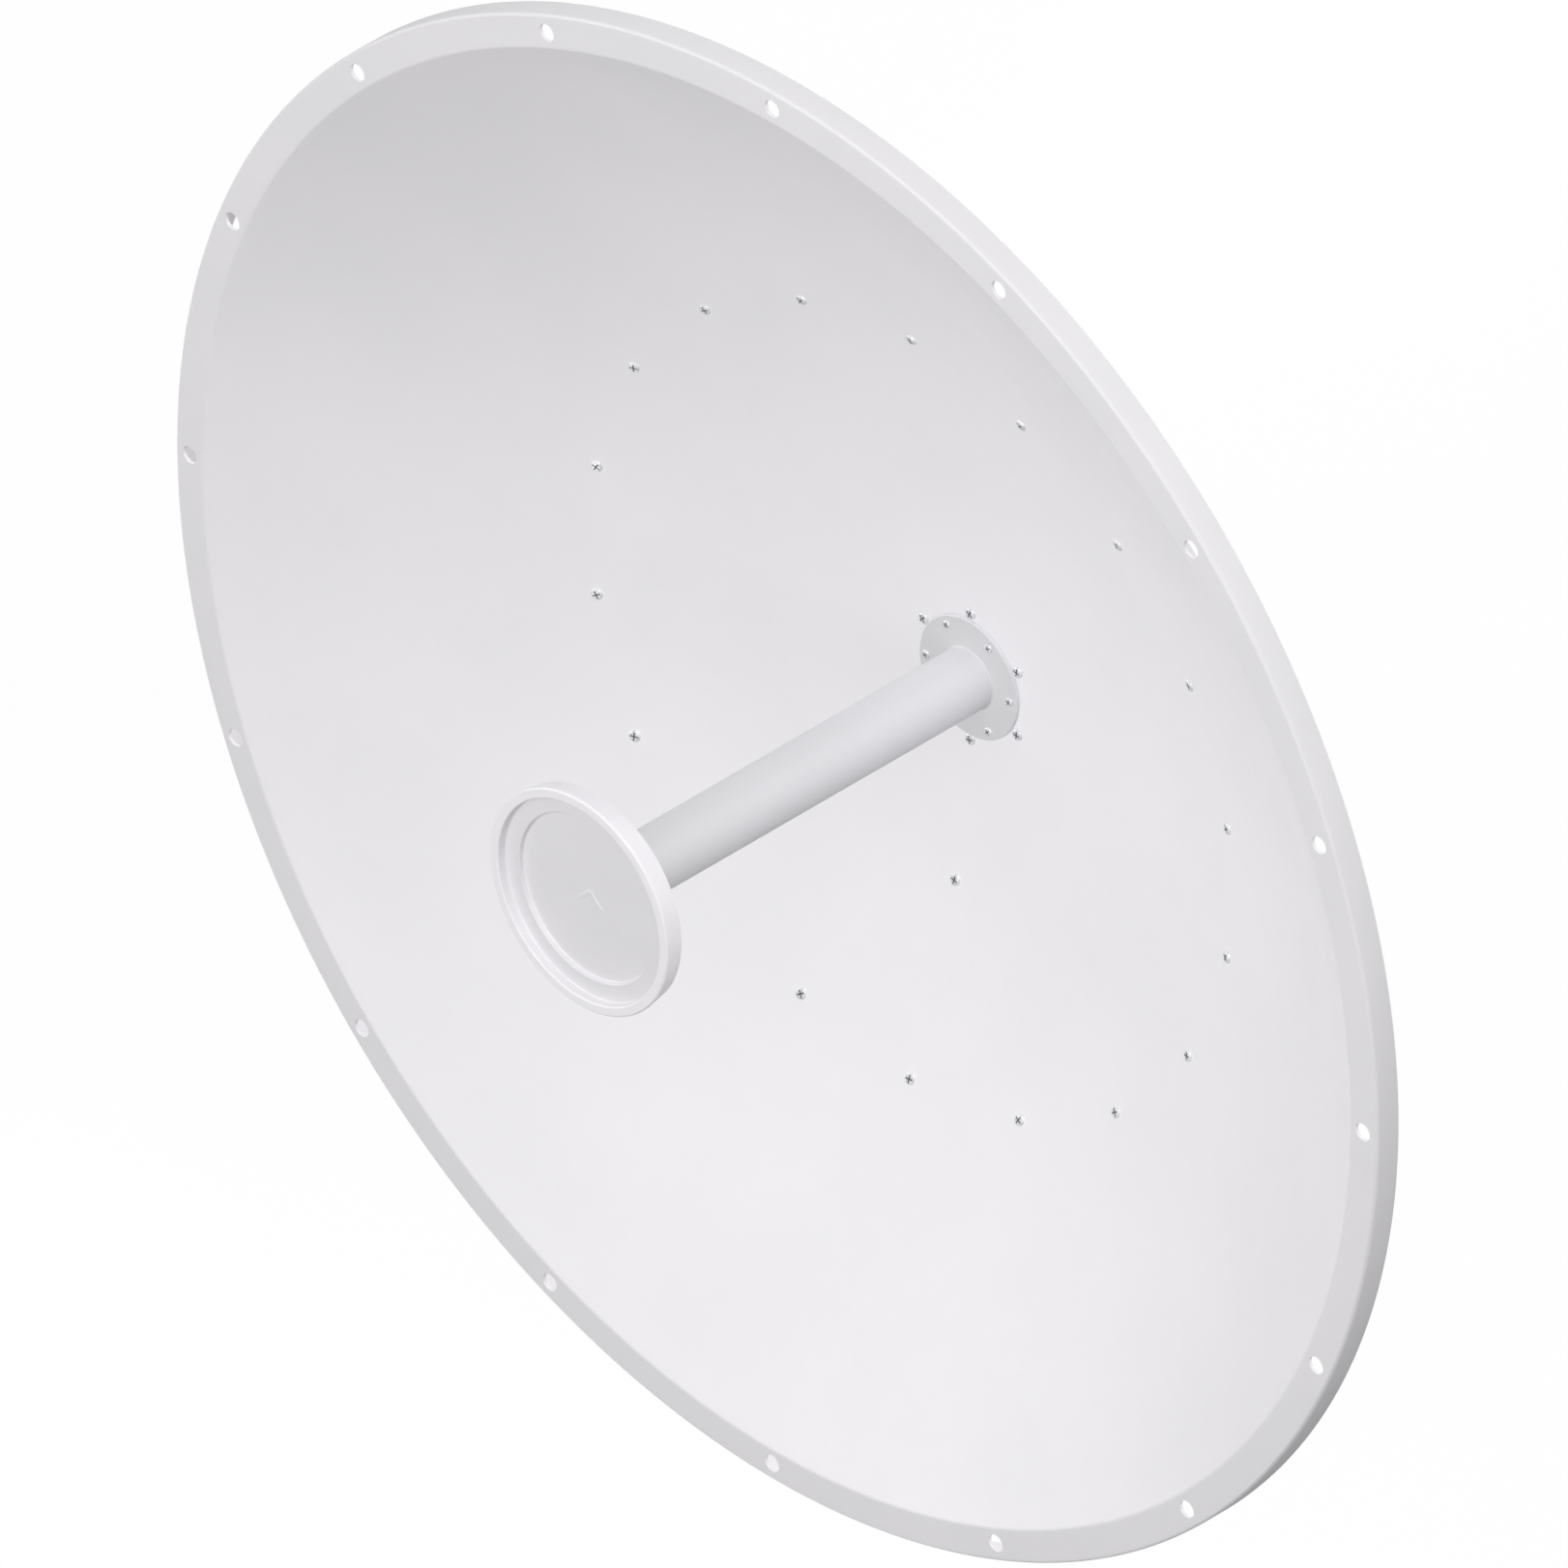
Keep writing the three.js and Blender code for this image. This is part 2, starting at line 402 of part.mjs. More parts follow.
// ---------- pole clamps ----------
for (const [word, sz] of [['upper', 1], ['lower', -1]]) {
  const wing = V_Y - 40 / Math.tan(Math.PI / 3);
  const outer = V_Y + JAW_T / Math.cos(Math.PI / 6);
  const bend = (outer - wing - JAW_T) * Math.tan(Math.PI / 3);
  const jaw = [[-66, wing], [-40, wing], [0, V_Y], [40, wing], [66, wing], [66, wing + JAW_T], [bend, wing + JAW_T], [0, outer], [-bend, wing + JAW_T], [-66, wing + JAW_T]];
  node(root, `clamp_jaw_${word}`, cut(
    plate('z', jaw, sz * CLAMP_Z - 15, sz * CLAMP_Z + 15),
    bar('y', M8_HOLE, 0, 60, [-CLAMP_BOLT_X, sz * CLAMP_Z], 12), bar('y', M8_HOLE, 0, 60, [CLAMP_BOLT_X, sz * CLAMP_Z], 12),
  ), 'zinc_steel');
  for (const [side, sx] of [['left', -1], ['right', 1]]) {
    const x = sx * CLAMP_BOLT_X, z = sz * CLAMP_Z;
    node(root, `clamp_bolt_${word}_${side}`, join(
      bar('y', 6.5, WEB_Y0 - GAP - 4, WEB_Y0 - GAP, [x, z], 12, 9), bar('y', M8, WEB_Y0 - 1.5, 56, [x, z], 8),
    ), 'zinc_steel');
    node(root, `clamp_nut_${word}_${side}`, nutY(wing + JAW_T + GAP, wing + JAW_T + GAP + 6.5, x, z), 'zinc_steel');
  }
}

export default root;
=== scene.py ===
"""Looks of the parabolic dish antenna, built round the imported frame. Blender 4.5."""
import math
import bpy
import bmesh
from mathutils import Matrix, Vector


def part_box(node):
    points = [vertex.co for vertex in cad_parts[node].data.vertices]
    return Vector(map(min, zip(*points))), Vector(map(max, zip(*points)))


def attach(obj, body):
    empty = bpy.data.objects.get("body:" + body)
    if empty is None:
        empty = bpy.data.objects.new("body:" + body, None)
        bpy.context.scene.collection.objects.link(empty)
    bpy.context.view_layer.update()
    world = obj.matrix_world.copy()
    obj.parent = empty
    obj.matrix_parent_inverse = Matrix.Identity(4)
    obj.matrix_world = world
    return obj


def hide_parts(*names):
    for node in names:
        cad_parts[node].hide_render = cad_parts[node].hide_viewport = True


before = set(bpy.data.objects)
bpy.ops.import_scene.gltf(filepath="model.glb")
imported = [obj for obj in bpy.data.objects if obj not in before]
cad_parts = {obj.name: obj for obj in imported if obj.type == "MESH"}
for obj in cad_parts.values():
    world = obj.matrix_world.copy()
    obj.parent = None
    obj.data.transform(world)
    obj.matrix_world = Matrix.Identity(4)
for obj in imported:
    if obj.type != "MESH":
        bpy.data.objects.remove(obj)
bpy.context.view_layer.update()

MM = 0.001
scene = bpy.context.scene
rad = math.radians


# ------------------------------------------------------------------ where things are
def cad(node):
    """Lowest and highest corner and centre of a CAD node, in millimetres."""
    lo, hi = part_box(node)
    return lo * 1000, hi * 1000, (lo + hi) * 500


_lo, _hi, _c = cad("reflector")
DISH = Vector((_c.x, _lo.y + 176.7, _c.z))      # vertex of the paraboloid
FOCAL = 358.0
EL_Y, EL_Z = cad("elevation_pivot_bolt")[2].y, cad("elevation_pivot_bolt")[2].z
ROD_Z = cad("elevation_rod_pin")[2].z


# ------------------------------------------------------------------ camera
C = Vector((1, -1, 1)).normalized()
RIGHT = Vector((1, 1, 0)).normalized()
UP = C.cross(RIGHT)
LENS = 1500.0
cam_data = bpy.data.cameras.new("camera")
cam_data.lens = LENS
cam_data.sensor_width = 36.0
cam_data.clip_start, cam_data.clip_end = 1.0, 400.0
cam = bpy.data.objects.new("camera", cam_data)
scene.collection.objects.link(cam)
TARGET = Vector((DISH.x, _lo.y, DISH.z)) * MM + RIGHT * 0.00741 + UP * 0.00442
cam.location = TARGET + C * (0.969 * LENS / 36.0)
cam.rotation_mode = "QUATERNION"
cam.rotation_quaternion = Matrix((RIGHT, UP, C)).transposed().to_quaternion()
scene.camera = cam


# ------------------------------------------------------------------ mesh tools (millimetres in, metres out)
def shade(me, angle=32.0):
    me.polygons.foreach_set("use_smooth", [True] * len(me.polygons))
    me.set_sharp_from_angle(angle=rad(angle))
    me.update()
    return me


def mesh(name, verts, faces, angle=32.0, merge=2e-6):
    me = bpy.data.meshes.new(name)
    me.from_pydata([(x * MM, y * MM, z * MM) for x, y, z in verts], [], faces)
    bm = bmesh.new()
    bm.from_mesh(me)
    bmesh.ops.remove_doubles(bm, verts=bm.verts, dist=merge)
    bmesh.ops.recalc_face_normals(bm, faces=bm.faces)
    bm.to_mesh(me)
    bm.free()
    return shade(me, angle)


def moved(me, matrix):
    """A copy of the mesh, moved; matrix is in metres."""
    out = me.copy()
    out.transform(matrix)
    if matrix.determinant() < 0:
        out.flip_normals()
    return out


def merged(name, meshes):
    """One mesh out of several closed ones."""
    bm = bmesh.new()
    for m in meshes:
        bm.from_mesh(m)
    out = bpy.data.meshes.new(name)
    bm.to_mesh(out)
    bm.free()
    for m in meshes:
        if m.users == 0:
            bpy.data.meshes.remove(m)
    return out


def T(x=0.0, y=0.0, z=0.0):
    return Matrix.Translation((x * MM, y * MM, z * MM))


def boolean(a, b, op="DIFFERENCE"):
    oa = bpy.data.objects.new("tmp_a", a)
    ob = bpy.data.objects.new("tmp_b", b)
    for o in (oa, ob):
        scene.collection.objects.link(o)
    m = oa.modifiers.new("b", "BOOLEAN")
    m.operation, m.solver, m.object = op, "EXACT", ob
    out = bpy.data.meshes.new_from_object(oa.evaluated_get(bpy.context.evaluated_depsgraph_get()))
    for o in (oa, ob):
        bpy.data.objects.remove(o)
    return out


def bevelled(me, width=0.5, segments=2, angle=35.0):
    """Rounds the sharp edges of a closed mesh and shades it smooth, sharp above 40 degrees."""
    o = bpy.data.objects.new("tmp_bevel", me)
    scene.collection.objects.link(o)
    m = o.modifiers.new("b", "BEVEL")
    m.width, m.segments, m.limit_method, m.angle_limit = width * MM, segments, "ANGLE", rad(angle)
    m.use_clamp_overlap, m.miter_outer = True, "MITER_ARC"
    m.harden_normals = False
    out = bpy.data.meshes.new_from_object(o.evaluated_get(bpy.context.evaluated_depsgraph_get()))
    bpy.data.objects.remove(o)
    return shade(out, 40)


def rounded(points, closed=True, seg=5, support=0.12):
    """Outline with its corners rounded: a point may carry a third number, its radius."""
    out, n = [], len(points)
    for i, p in enumerate(points):
        P, R = Vector(p[:2]), (p[2] if len(p) > 2 else 0.0)
        if R <= 0 or (not closed and i in (0, n - 1)):
            out.append((P.x, P.y))
            continue
        A, B = Vector(points[i - 1][:2]), Vector(points[(i + 1) % n][:2])
        u, v = (A - P), (B - P)
        lu, lv = u.length, v.length
        u, v = u / lu, v / lv
        ang = math.acos(max(-1, min(1, u.dot(v))))
        if ang > math.pi - 0.02:
            out.append((P.x, P.y))
            continue
        d = min(R / math.tan(ang / 2), 0.47 * lu, 0.47 * lv)
        R = d * math.tan(ang / 2)
        c = P + (u + v).normalized() * (R / math.sin(ang / 2))
        a0, a1 = P + u * d, P + v * d
        t0 = math.atan2(a0.y - c.y, a0.x - c.x)
        dt = (math.atan2(a1.y - c.y, a1.x - c.x) - t0 + math.pi) % (2 * math.pi) - math.pi
        if support and lu - 2 * d > 3 * support:
            out.append(tuple(a0 + u * support))
        for k in range(seg + 1):
            t = t0 + dt * k / seg
            out.append((c.x + R * math.cos(t), c.y + R * math.sin(t)))
        if support and lv - 2 * d > 3 * support:
            out.append(tuple(a1 + v * support))
    return out


def turned(name, profile, n=96, closed=True, angle=32.0):
    """Body of revolution about Y; profile is a list of (radius, y)."""
    verts, faces, rows = [], [], []
    for r, y in profile:
        if r < 1e-6:
            rows.append([len(verts)])
            verts.append((0.0, y, 0.0))
        else:
            rows.append(list(range(len(verts), len(verts) + n)))
            verts += [(r * math.cos(2 * math.pi * k / n), y, r * math.sin(2 * math.pi * k / n)) for k in range(n)]
    m = len(profile)
    for i in range(m if closed else m - 1):
        a, b = rows[i], rows[(i + 1) % m]
        if len(a) == 1 and len(b) == 1:
            continue
        for k in range(n):
            k2 = (k + 1) % n
            if len(a) == 1:
                faces.append((a[0], b[k], b[k2]))
            elif len(b) == 1:
                faces.append((a[k], a[k2], b[0]))
            else:
                faces.append((a[k], a[k2], b[k2], b[k]))
    return mesh(name, verts, faces, angle)


def circle(cx, cy, r, n=32, start=0.0):
    return [(cx + r * math.cos(start + 2 * math.pi * k / n), cy + r * math.sin(start + 2 * math.pi * k / n)) for k in range(n)]


def slot_hole(cx, cy, R, mid, half, w, n=10):
    """Curved slot about (cx, cy): radius R, from mid-half to mid+half degrees, half width w."""
    def arc(c, r, d0, d1, k):
        return [(c[0] + r * math.cos(rad(d0 + (d1 - d0) * i / k)), c[1] + r * math.sin(rad(d0 + (d1 - d0) * i / k))) for i in range(k + 1)]
    e1 = (cx + R * math.cos(rad(mid + half)), cy + R * math.sin(rad(mid + half)))
    e0 = (cx + R * math.cos(rad(mid - half)), cy + R * math.sin(rad(mid - half)))
    return (arc((cx, cy), R + w, mid - half, mid + half, n) + arc(e1, w, mid + half, mid + half + 180, n)[1:-1]
            + arc((cx, cy), R - w, mid + half, mid - half, n) + arc(e0, w, mid - half + 180, mid - half + 360, n)[1:-1])


AXES = {
    "x": Matrix(((0, 0, 1), (1, 0, 0), (0, 1, 0))),
    "y": Matrix(((1, 0, 0), (0, 0, -1), (0, 1, 0))),
    "z": Matrix.Identity(3),
}


def plate(outline, a, b, axis="z", holes=(), bevel=0.4, res=2):
    """Flat plate with rounded edges, from a to b along the axis. The outline is (y,z), (x,z) or (x,y)."""
    t = b - a
    bevel = min(bevel, 0.45 * t)
    cu = bpy.data.curves.new("tmp_plate", "CURVE")
    cu.dimensions, cu.fill_mode = "2D", "BOTH"
    cu.extrude, cu.bevel_depth, cu.bevel_resolution, cu.offset = (t / 2 - bevel) * MM, bevel * MM, res, -bevel * MM
    for pts in [outline, *holes]:
        clean = []
        for p in pts:
            if not clean or math.dist(p, clean[-1]) > 1e-3:
                clean.append(p)
        if math.dist(clean[0], clean[-1]) <= 1e-3:
            clean.pop()
        sp = cu.splines.new("POLY")
        sp.points.add(len(clean) - 1)
        for q, p in zip(sp.points, clean):
            q.co = (p[0] * MM, p[1] * MM, 0, 1)
        sp.use_cyclic_u = True
    o = bpy.data.objects.new("tmp_plate", cu)
    scene.collection.objects.link(o)
    me = bpy.data.meshes.new_from_object(o.evaluated_get(bpy.context.evaluated_depsgraph_get()))
    bpy.data.objects.remove(o)
    bm = bmesh.new()
    bm.from_mesh(me)
    bmesh.ops.remove_doubles(bm, verts=bm.verts, dist=1e-6)
    bmesh.ops.recalc_face_normals(bm, faces=bm.faces)
    bm.to_mesh(me)
    bm.free()
    m = AXES[axis].to_4x4()
    mid = (a + b) / 2 * MM
    shift = {"x": Matrix.Translation((mid, 0, 0)), "y": Matrix.Translation((0, mid, 0)), "z": Matrix.Translation((0, 0, mid))}[axis]
    me.transform(shift @ m)
    return shade(me, 40)


def block(x0, x1, y0, y1, z0, z1, bevel=0.5, seg=2):
    me = bpy.data.meshes.new("block")
    bm = bmesh.new()
    bmesh.ops.create_cube(bm, size=1.0)
    bmesh.ops.transform(bm, verts=bm.verts, matrix=Matrix.Translation(((x0 + x1) / 2 * MM, (y0 + y1) / 2 * MM, (z0 + z1) / 2 * MM)) @ Matrix.Diagonal(((x1 - x0) * MM, (y1 - y0) * MM, (z1 - z0) * MM, 1)))
    if bevel:
        bmesh.ops.bevel(bm, geom=bm.edges, offset=bevel * MM, segments=seg, profile=0.5, affect="EDGES")
    bm.to_mesh(me)
    bm.free()
    return shade(me, 40)


def bead(p, q, r=2.0, pitch=1.9, seed=0.0):
    """Weld bead between two points: a rippled rod with tapered ends, half sunk in the corner."""
    p, q = Vector(p), Vector(q)
    L = (q - p).length
    d = (q - p) / L
    side = d.orthogonal().normalized()
    up = d.cross(side)
    rows, cols = max(int(L / 0.45), 8), 10
    verts, faces = [], []
    for i in range(rows + 1):
        s = L * i / rows
        end = min(1.0, min(s, L - s) / (1.6 * r) + 0.15)
        end = math.sqrt(max(0.0, 1 - (1 - end) ** 2))
        rip = 1.0 + 0.10 * abs(math.sin(math.pi * s / pitch + seed)) + 0.05 * math.sin(s * 0.43 + seed * 3)
        for k in range(cols):
            t = 2 * math.pi * k / cols
            v = p + d * s + (side * math.cos(t) + up * math.sin(t)) * (r * end * rip)
            verts.append(tuple(v))
    for i in range(rows):
        for k in range(cols):
            k2 = (k + 1) % cols
            faces.append((i * cols + k, i * cols + k2, (i + 1) * cols + k2, (i + 1) * cols + k))
    faces.append(tuple(range(cols)))
    faces.append(tuple(range(rows * cols, rows * cols + cols)))
    return mesh("bead", verts, faces, 75)


def threaded(r, pitch, a, b, n=20, tip=0.0, base=0.0):
    """Threaded rod along Y from a to b. tip and base chamfer the ends."""
    depth = 0.58 * pitch
    rows = max(int((b - a) / pitch * 6), 6)
    verts, faces = [], []
    for i in range(rows + 1):
        y = a + (b - a) * i / rows
        limit = r
        if tip:
            limit = min(limit, r - max(0.0, tip - (b - y)))
        if base:
            limit = min(limit, r - max(0.0, base - (y - a)))
        for k in range(n):
            ph = (y / pitch - k / n) % 1.0
            rr = min(limit, r - depth * abs(2 * ph - 1))
            t = 2 * math.pi * k / n
            verts.append((rr * math.cos(t), y, rr * math.sin(t)))
    for i in range(rows):
        for k in range(n):
            k2 = (k + 1) % n
            faces.append((i * n + k, i * n + k2, (i + 1) * n + k2, (i + 1) * n + k))
    faces.append(tuple(range(n)))
    faces.append(tuple(range(rows * n, rows * n + n)))
    return mesh("thread", verts, faces, 50)


def hexagon(R, y0, y1):
    v = [(R * math.cos(rad(60 * k)), y, R * math.sin(rad(60 * k))) for y in (y0, y1) for k in range(6)]
    f = [tuple(range(6)), tuple(range(6, 12))] + [(k, (k + 1) % 6, 6 + (k + 1) % 6, 6 + k) for k in range(6)]
    return mesh("hex", v, f, 20)


def hex_body(R, y0, y1, both=False, bore=0.0, pitch=1.25):
    """Hexagon with its corners turned down at y0, and at y1 too if both; bored if bore."""
    c = R * 0.20
    af = R * math.cos(rad(30))
    top = [(0.0, y0), (af - 0.1, y0), (R + 0.02, y0 + c * 0.6)] if not both else [(0.0, y0), (af - 0.1, y0), (R + 0.02, y0 + c * 0.6)]
    low = [(R + 0.02, y1 - c * 0.6), (af - 0.1, y1), (0.0, y1)] if both else [(R + 0.02, y1), (0.0, y1)]
    me = boolean(hexagon(R, y0, y1), turned("cone", top + low, 60, False), "INTERSECT")
    if bore:
        cutter = turned("bore", [(0, y0 - 1), (bore + 1.0, y0 - 1), (bore + 0.5, y0), (bore, y0 + 0.6), (bore, y1 - 0.6), (bore + 0.5, y1), (bore + 1.0, y1 + 1), (0, y1 + 1)], 32, False)
        me = boolean(me, cutter)
    return bevelled(me, 0.18, 2, 25)


def washer(r_in, r_out, y0, y1):
    return turned("washer", rounded([(r_in, y0, .2), (r_out, y0, .3), (r_out, y1, .3), (r_in, y1, .2)], seg=3, support=0.08), 48)


# ------------------------------------------------------------------ materials
def new_material(name, rough, metal, ior=1.5, spec=0.5, coat=0.0, coat_rough=0.1):
    m = bpy.data.materials.new(name)
    m.use_nodes = True
    nt = m.node_tree
    b = nt.nodes["Principled BSDF"]
    b.inputs["Metallic"].default_value = metal
    b.inputs["Roughness"].default_value = rough
    b.inputs["IOR"].default_value = ior
    b.inputs["Specular IOR Level"].default_value = spec
    b.inputs["Coat Weight"].default_value = coat
    b.inputs["Coat Roughness"].default_value = coat_rough
    co = nt.nodes.new("ShaderNodeTexCoord")
    return m, nt, b, co.outputs["Object"]


def node(nt, kind, **values):
    n = nt.nodes.new(kind)
    for k, v in values.items():
        if k in n.inputs:
            n.inputs[k].default_value = v
        else:
            setattr(n, k, v)
    return n


def noise(nt, coord, scale, detail=3.0, roughness=0.5):
    n = node(nt, "ShaderNodeTexNoise", Scale=scale, Detail=detail, Roughness=roughness)
    nt.links.new(coord, n.inputs["Vector"])
    return n.outputs["Fac"]


def stretched(nt, coord, scale):
    m = nt.nodes.new("ShaderNodeMapping")
    m.inputs["Scale"].default_value = scale
    nt.links.new(coord, m.inputs["Vector"])
    return m.outputs["Vector"]


def ramp(nt, fac, stops, how="EASE"):
    r = nt.nodes.new("ShaderNodeValToRGB")
    r.color_ramp.interpolation = how
    while len(r.color_ramp.elements) < len(stops):
        r.color_ramp.elements.new(0.5)
    for e, (p, c) in zip(r.color_ramp.elements, stops):
        e.position = p
        e.color = (*c, 1) if len(c) == 3 else c
    nt.links.new(fac, r.inputs["Fac"])
    return r.outputs["Color"]


def ranged(nt, fac, lo, hi, f0=0.3, f1=0.7):
    m = nt.nodes.new("ShaderNodeMapRange")
    m.inputs["From Min"].default_value, m.inputs["From Max"].default_value = f0, f1
    m.inputs["To Min"].default_value, m.inputs["To Max"].default_value = lo, hi
    nt.links.new(fac, m.inputs["Value"])
    return m.outputs["Result"]


def bump(nt, b, heights):
    """heights: (output, distance in metres, strength), laid one on another."""
    last = None
    for out, distance, strength in heights:
        n = node(nt, "ShaderNodeBump", Distance=distance, Strength=strength)
        nt.links.new(out, n.inputs["Height"])
        if last:
            nt.links.new(last, n.inputs["Normal"])
        last = n.outputs["Normal"]
    nt.links.new(last, b.inputs["Normal"])


def mixed(nt, fac, a, b):
    m = nt.nodes.new("ShaderNodeMix")
    m.data_type = "RGBA"
    nt.links.new(fac, m.inputs[0])
    for sock, v in ((m.inputs[6], a), (m.inputs[7], b)):
        if isinstance(v, tuple):
            sock.default_value = (*v, 1)
        else:
            nt.links.new(v, sock)
    return m.outputs[2]


def radius_of(nt, coord, centre=(0, 0, 0)):
    s = node(nt, "ShaderNodeVectorMath", operation="SUBTRACT")
    nt.links.new(coord, s.inputs[0])
    s.inputs[1].default_value = centre
    p = node(nt, "ShaderNodeVectorMath", operation="MULTIPLY")
    nt.links.new(s.outputs[0], p.inputs[0])
    p.inputs[1].default_value = (1, 0, 1)
    length = node(nt, "ShaderNodeVectorMath", operation="LENGTH")
    nt.links.new(p.outputs[0], length.inputs[0])
    return length.outputs["Value"]


def rings(nt, radius, scale, detail=2.0):
    """Fine concentric lines, as a lathe or a spinning tool leaves."""
    n = node(nt, "ShaderNodeTexNoise", noise_dimensions="1D", Scale=scale, Detail=detail, Roughness=0.6)
    nt.links.new(radius, n.inputs["W"])
    return n.outputs["Fac"]


def powder_coat(name, tone, spun=False, rough=0.58):
    """White powder paint: faint cloudiness, orange peel, and the spinning lines under it on the dish."""
    m, nt, b, co = new_material(name, rough, 0.0, spec=0.32)
    r, g, bl = tone
    cloud = noise(nt, co, 9.0, 4.0, 0.55)
    speck = noise(nt, co, 900.0, 2.0, 0.5)
    base = ramp(nt, cloud, [(0.30, (r * 0.975, g * 0.978, bl * 0.978)), (0.70, (r * 1.0, g * 1.0, bl * 1.0))])
    fleck = ramp(nt, speck, [(0.22, (r * 0.90, g * 0.90, bl * 0.91)), (0.34, (1, 1, 1))])
    mul = nt.nodes.new("ShaderNodeMix")
    mul.data_type, mul.blend_type = "RGBA", "MULTIPLY"
    mul.inputs[0].default_value = 0.25
    nt.links.new(base, mul.inputs[6])
    nt.links.new(fleck, mul.inputs[7])
    nt.links.new(mul.outputs[2], b.inputs["Base Color"])
    nt.links.new(ranged(nt, noise(nt, co, 60.0, 3.0), rough - 0.05, rough + 0.06), b.inputs["Roughness"])
    peel = noise(nt, co, 520.0, 2.0, 0.45)
    heights = [(peel, 0.00003, 0.35), (noise(nt, co, 2600.0, 1.0), 0.000006, 0.3)]
    if spun:
        heights.insert(0, (rings(nt, radius_of(nt, co), 190.0), 0.00004, 0.22))
    bump(nt, b, heights)
    return m


def moulded(name, tone, rough=0.5, grain=1500.0):
    """Injection moulded plastic: very fine grain and a little flow."""
    m, nt, b, co = new_material(name, rough, 0.0, ior=1.49)
    r, g, bl = tone
    flow = noise(nt, stretched(nt, co, (1, 1, 2.5)), 22.0, 4.0, 0.6)
    nt.links.new(ramp(nt, flow, [(0.3, (r * 0.98, g * 0.98, bl * 0.985)), (0.7, (r, g, bl))]), b.inputs["Base Color"])
    nt.links.new(ranged(nt, noise(nt, co, 300.0, 2.0), rough - 0.06, rough + 0.06), b.inputs["Roughness"])
    bump(nt, b, [(noise(nt, co, grain, 2.0, 0.6), 0.00002, 0.3)])
    return m


def galvanised(name, light=(0.46, 0.47, 0.48), dark=(0.30, 0.31, 0.325)):
    """Hot dip galvanised steel: spangles, dull patches and runs."""
    m, nt, b, co = new_material(name, 0.45, 0.85)
    warp = node(nt, "ShaderNodeTexNoise", Scale=70.0, Detail=2.0)
    nt.links.new(co, warp.inputs["Vector"])
    add_ = node(nt, "ShaderNodeVectorMath", operation="MULTIPLY_ADD")
    nt.links.new(warp.outputs["Color"], add_.inputs[0])
    add_.inputs[1].default_value = (0.006, 0.006, 0.006)
    nt.links.new(co, add_.inputs[2])
    v = node(nt, "ShaderNodeTexVoronoi", Scale=120.0)
    nt.links.new(add_.outputs[0], v.inputs["Vector"])
    sep = nt.nodes.new("ShaderNodeSeparateColor")
    nt.links.new(v.outputs["Color"], sep.inputs[0])
    spangle = ramp(nt, sep.outputs[0], [(0.0, dark), (0.45, tuple((a + c) / 2 for a, c in zip(light, dark))), (1.0, light)])
    patch = ramp(nt, noise(nt, co, 14.0, 5.0, 0.6), [(0.35, (0.80, 0.80, 0.80)), (0.65, (1.0, 1.0, 1.0))])
    mul = nt.nodes.new("ShaderNodeMix")
    mul.data_type, mul.blend_type = "RGBA", "MULTIPLY"
    mul.inputs[0].default_value = 0.8
    nt.links.new(spangle, mul.inputs[6])
    nt.links.new(patch, mul.inputs[7])
    nt.links.new(mul.outputs[2], b.inputs["Base Color"])
    nt.links.new(ranged(nt, sep.outputs[1], 0.34, 0.56, 0.0, 1.0), b.inputs["Roughness"])
    bump(nt, b, [(noise(nt, co, 45.0, 3.0), 0.0004, 0.25), (noise(nt, co, 900.0, 3.0, 0.6), 0.00004, 0.35)])
    return m


def plated(name, light=(0.66, 0.68, 0.71), dark=(0.50, 0.52, 0.55), rough=0.27, metal=1.0):
    """Bright zinc plate with handling marks."""
    m, nt, b, co = new_material(name, rough, metal)
    n = noise(nt, co, 160.0, 5.0, 0.65)
    nt.links.new(ramp(nt, n, [(0.3, dark), (0.62, light)]), b.inputs["Base Color"])
    nt.links.new(ranged(nt, noise(nt, co, 420.0, 4.0, 0.7), rough - 0.08, rough + 0.16), b.inputs["Roughness"])
    bump(nt, b, [(noise(nt, stretched(nt, co, (1, 1, 6)), 900.0, 3.0, 0.6), 0.00001, 0.4)])
    return m


def machined(name, light=(0.74, 0.75, 0.76), dark=(0.58, 0.59, 0.60), centre=(0, 0, 0), rough=0.32):
    """Turned aluminium with tool rings round the dish axis."""
    m, nt, b, co = new_material(name, rough, 1.0)
    r = radius_of(nt, co, centre)
    ring = rings(nt, r, 1600.0, 3.0)
    nt.links.new(ramp(nt, noise(nt, co, 40.0, 4.0, 0.6), [(0.3, dark), (0.7, light)]), b.inputs["Base Color"])
    nt.links.new(ranged(nt, ring, rough - 0.08, rough + 0.12), b.inputs["Roughness"])
    bump(nt, b, [(ring, 0.00002, 0.5), (noise(nt, co, 1200.0, 2.0), 0.00001, 0.3)])
    return m


def rubber(name):
    m, nt, b, co = new_material(name, 0.8, 0.0, spec=0.3)
    nt.links.new(ramp(nt, noise(nt, co, 300.0, 4.0), [(0.3, (0.012, 0.012, 0.013)), (0.7, (0.03, 0.03, 0.032))]), b.inputs["Base Color"])
    nt.links.new(ranged(nt, noise(nt, co, 700.0, 2.0), 0.7, 0.9), b.inputs["Roughness"])
    bump(nt, b, [(noise(nt, co, 2200.0, 3.0, 0.7), 0.00003, 0.5)])
    return m


def gold(name):
    m, nt, b, co = new_material(name, 0.28, 1.0)
    nt.links.new(ramp(nt, noise(nt, co, 260.0, 4.0, 0.6), [(0.3, (0.60, 0.42, 0.16)), (0.7, (0.76, 0.57, 0.26))]), b.inputs["Base Color"])
    nt.links.new(ranged(nt, noise(nt, co, 600.0, 3.0), 0.2, 0.4), b.inputs["Roughness"])
    bump(nt, b, [(noise(nt, co, 1500.0, 2.0), 0.00001, 0.4)])
    return m


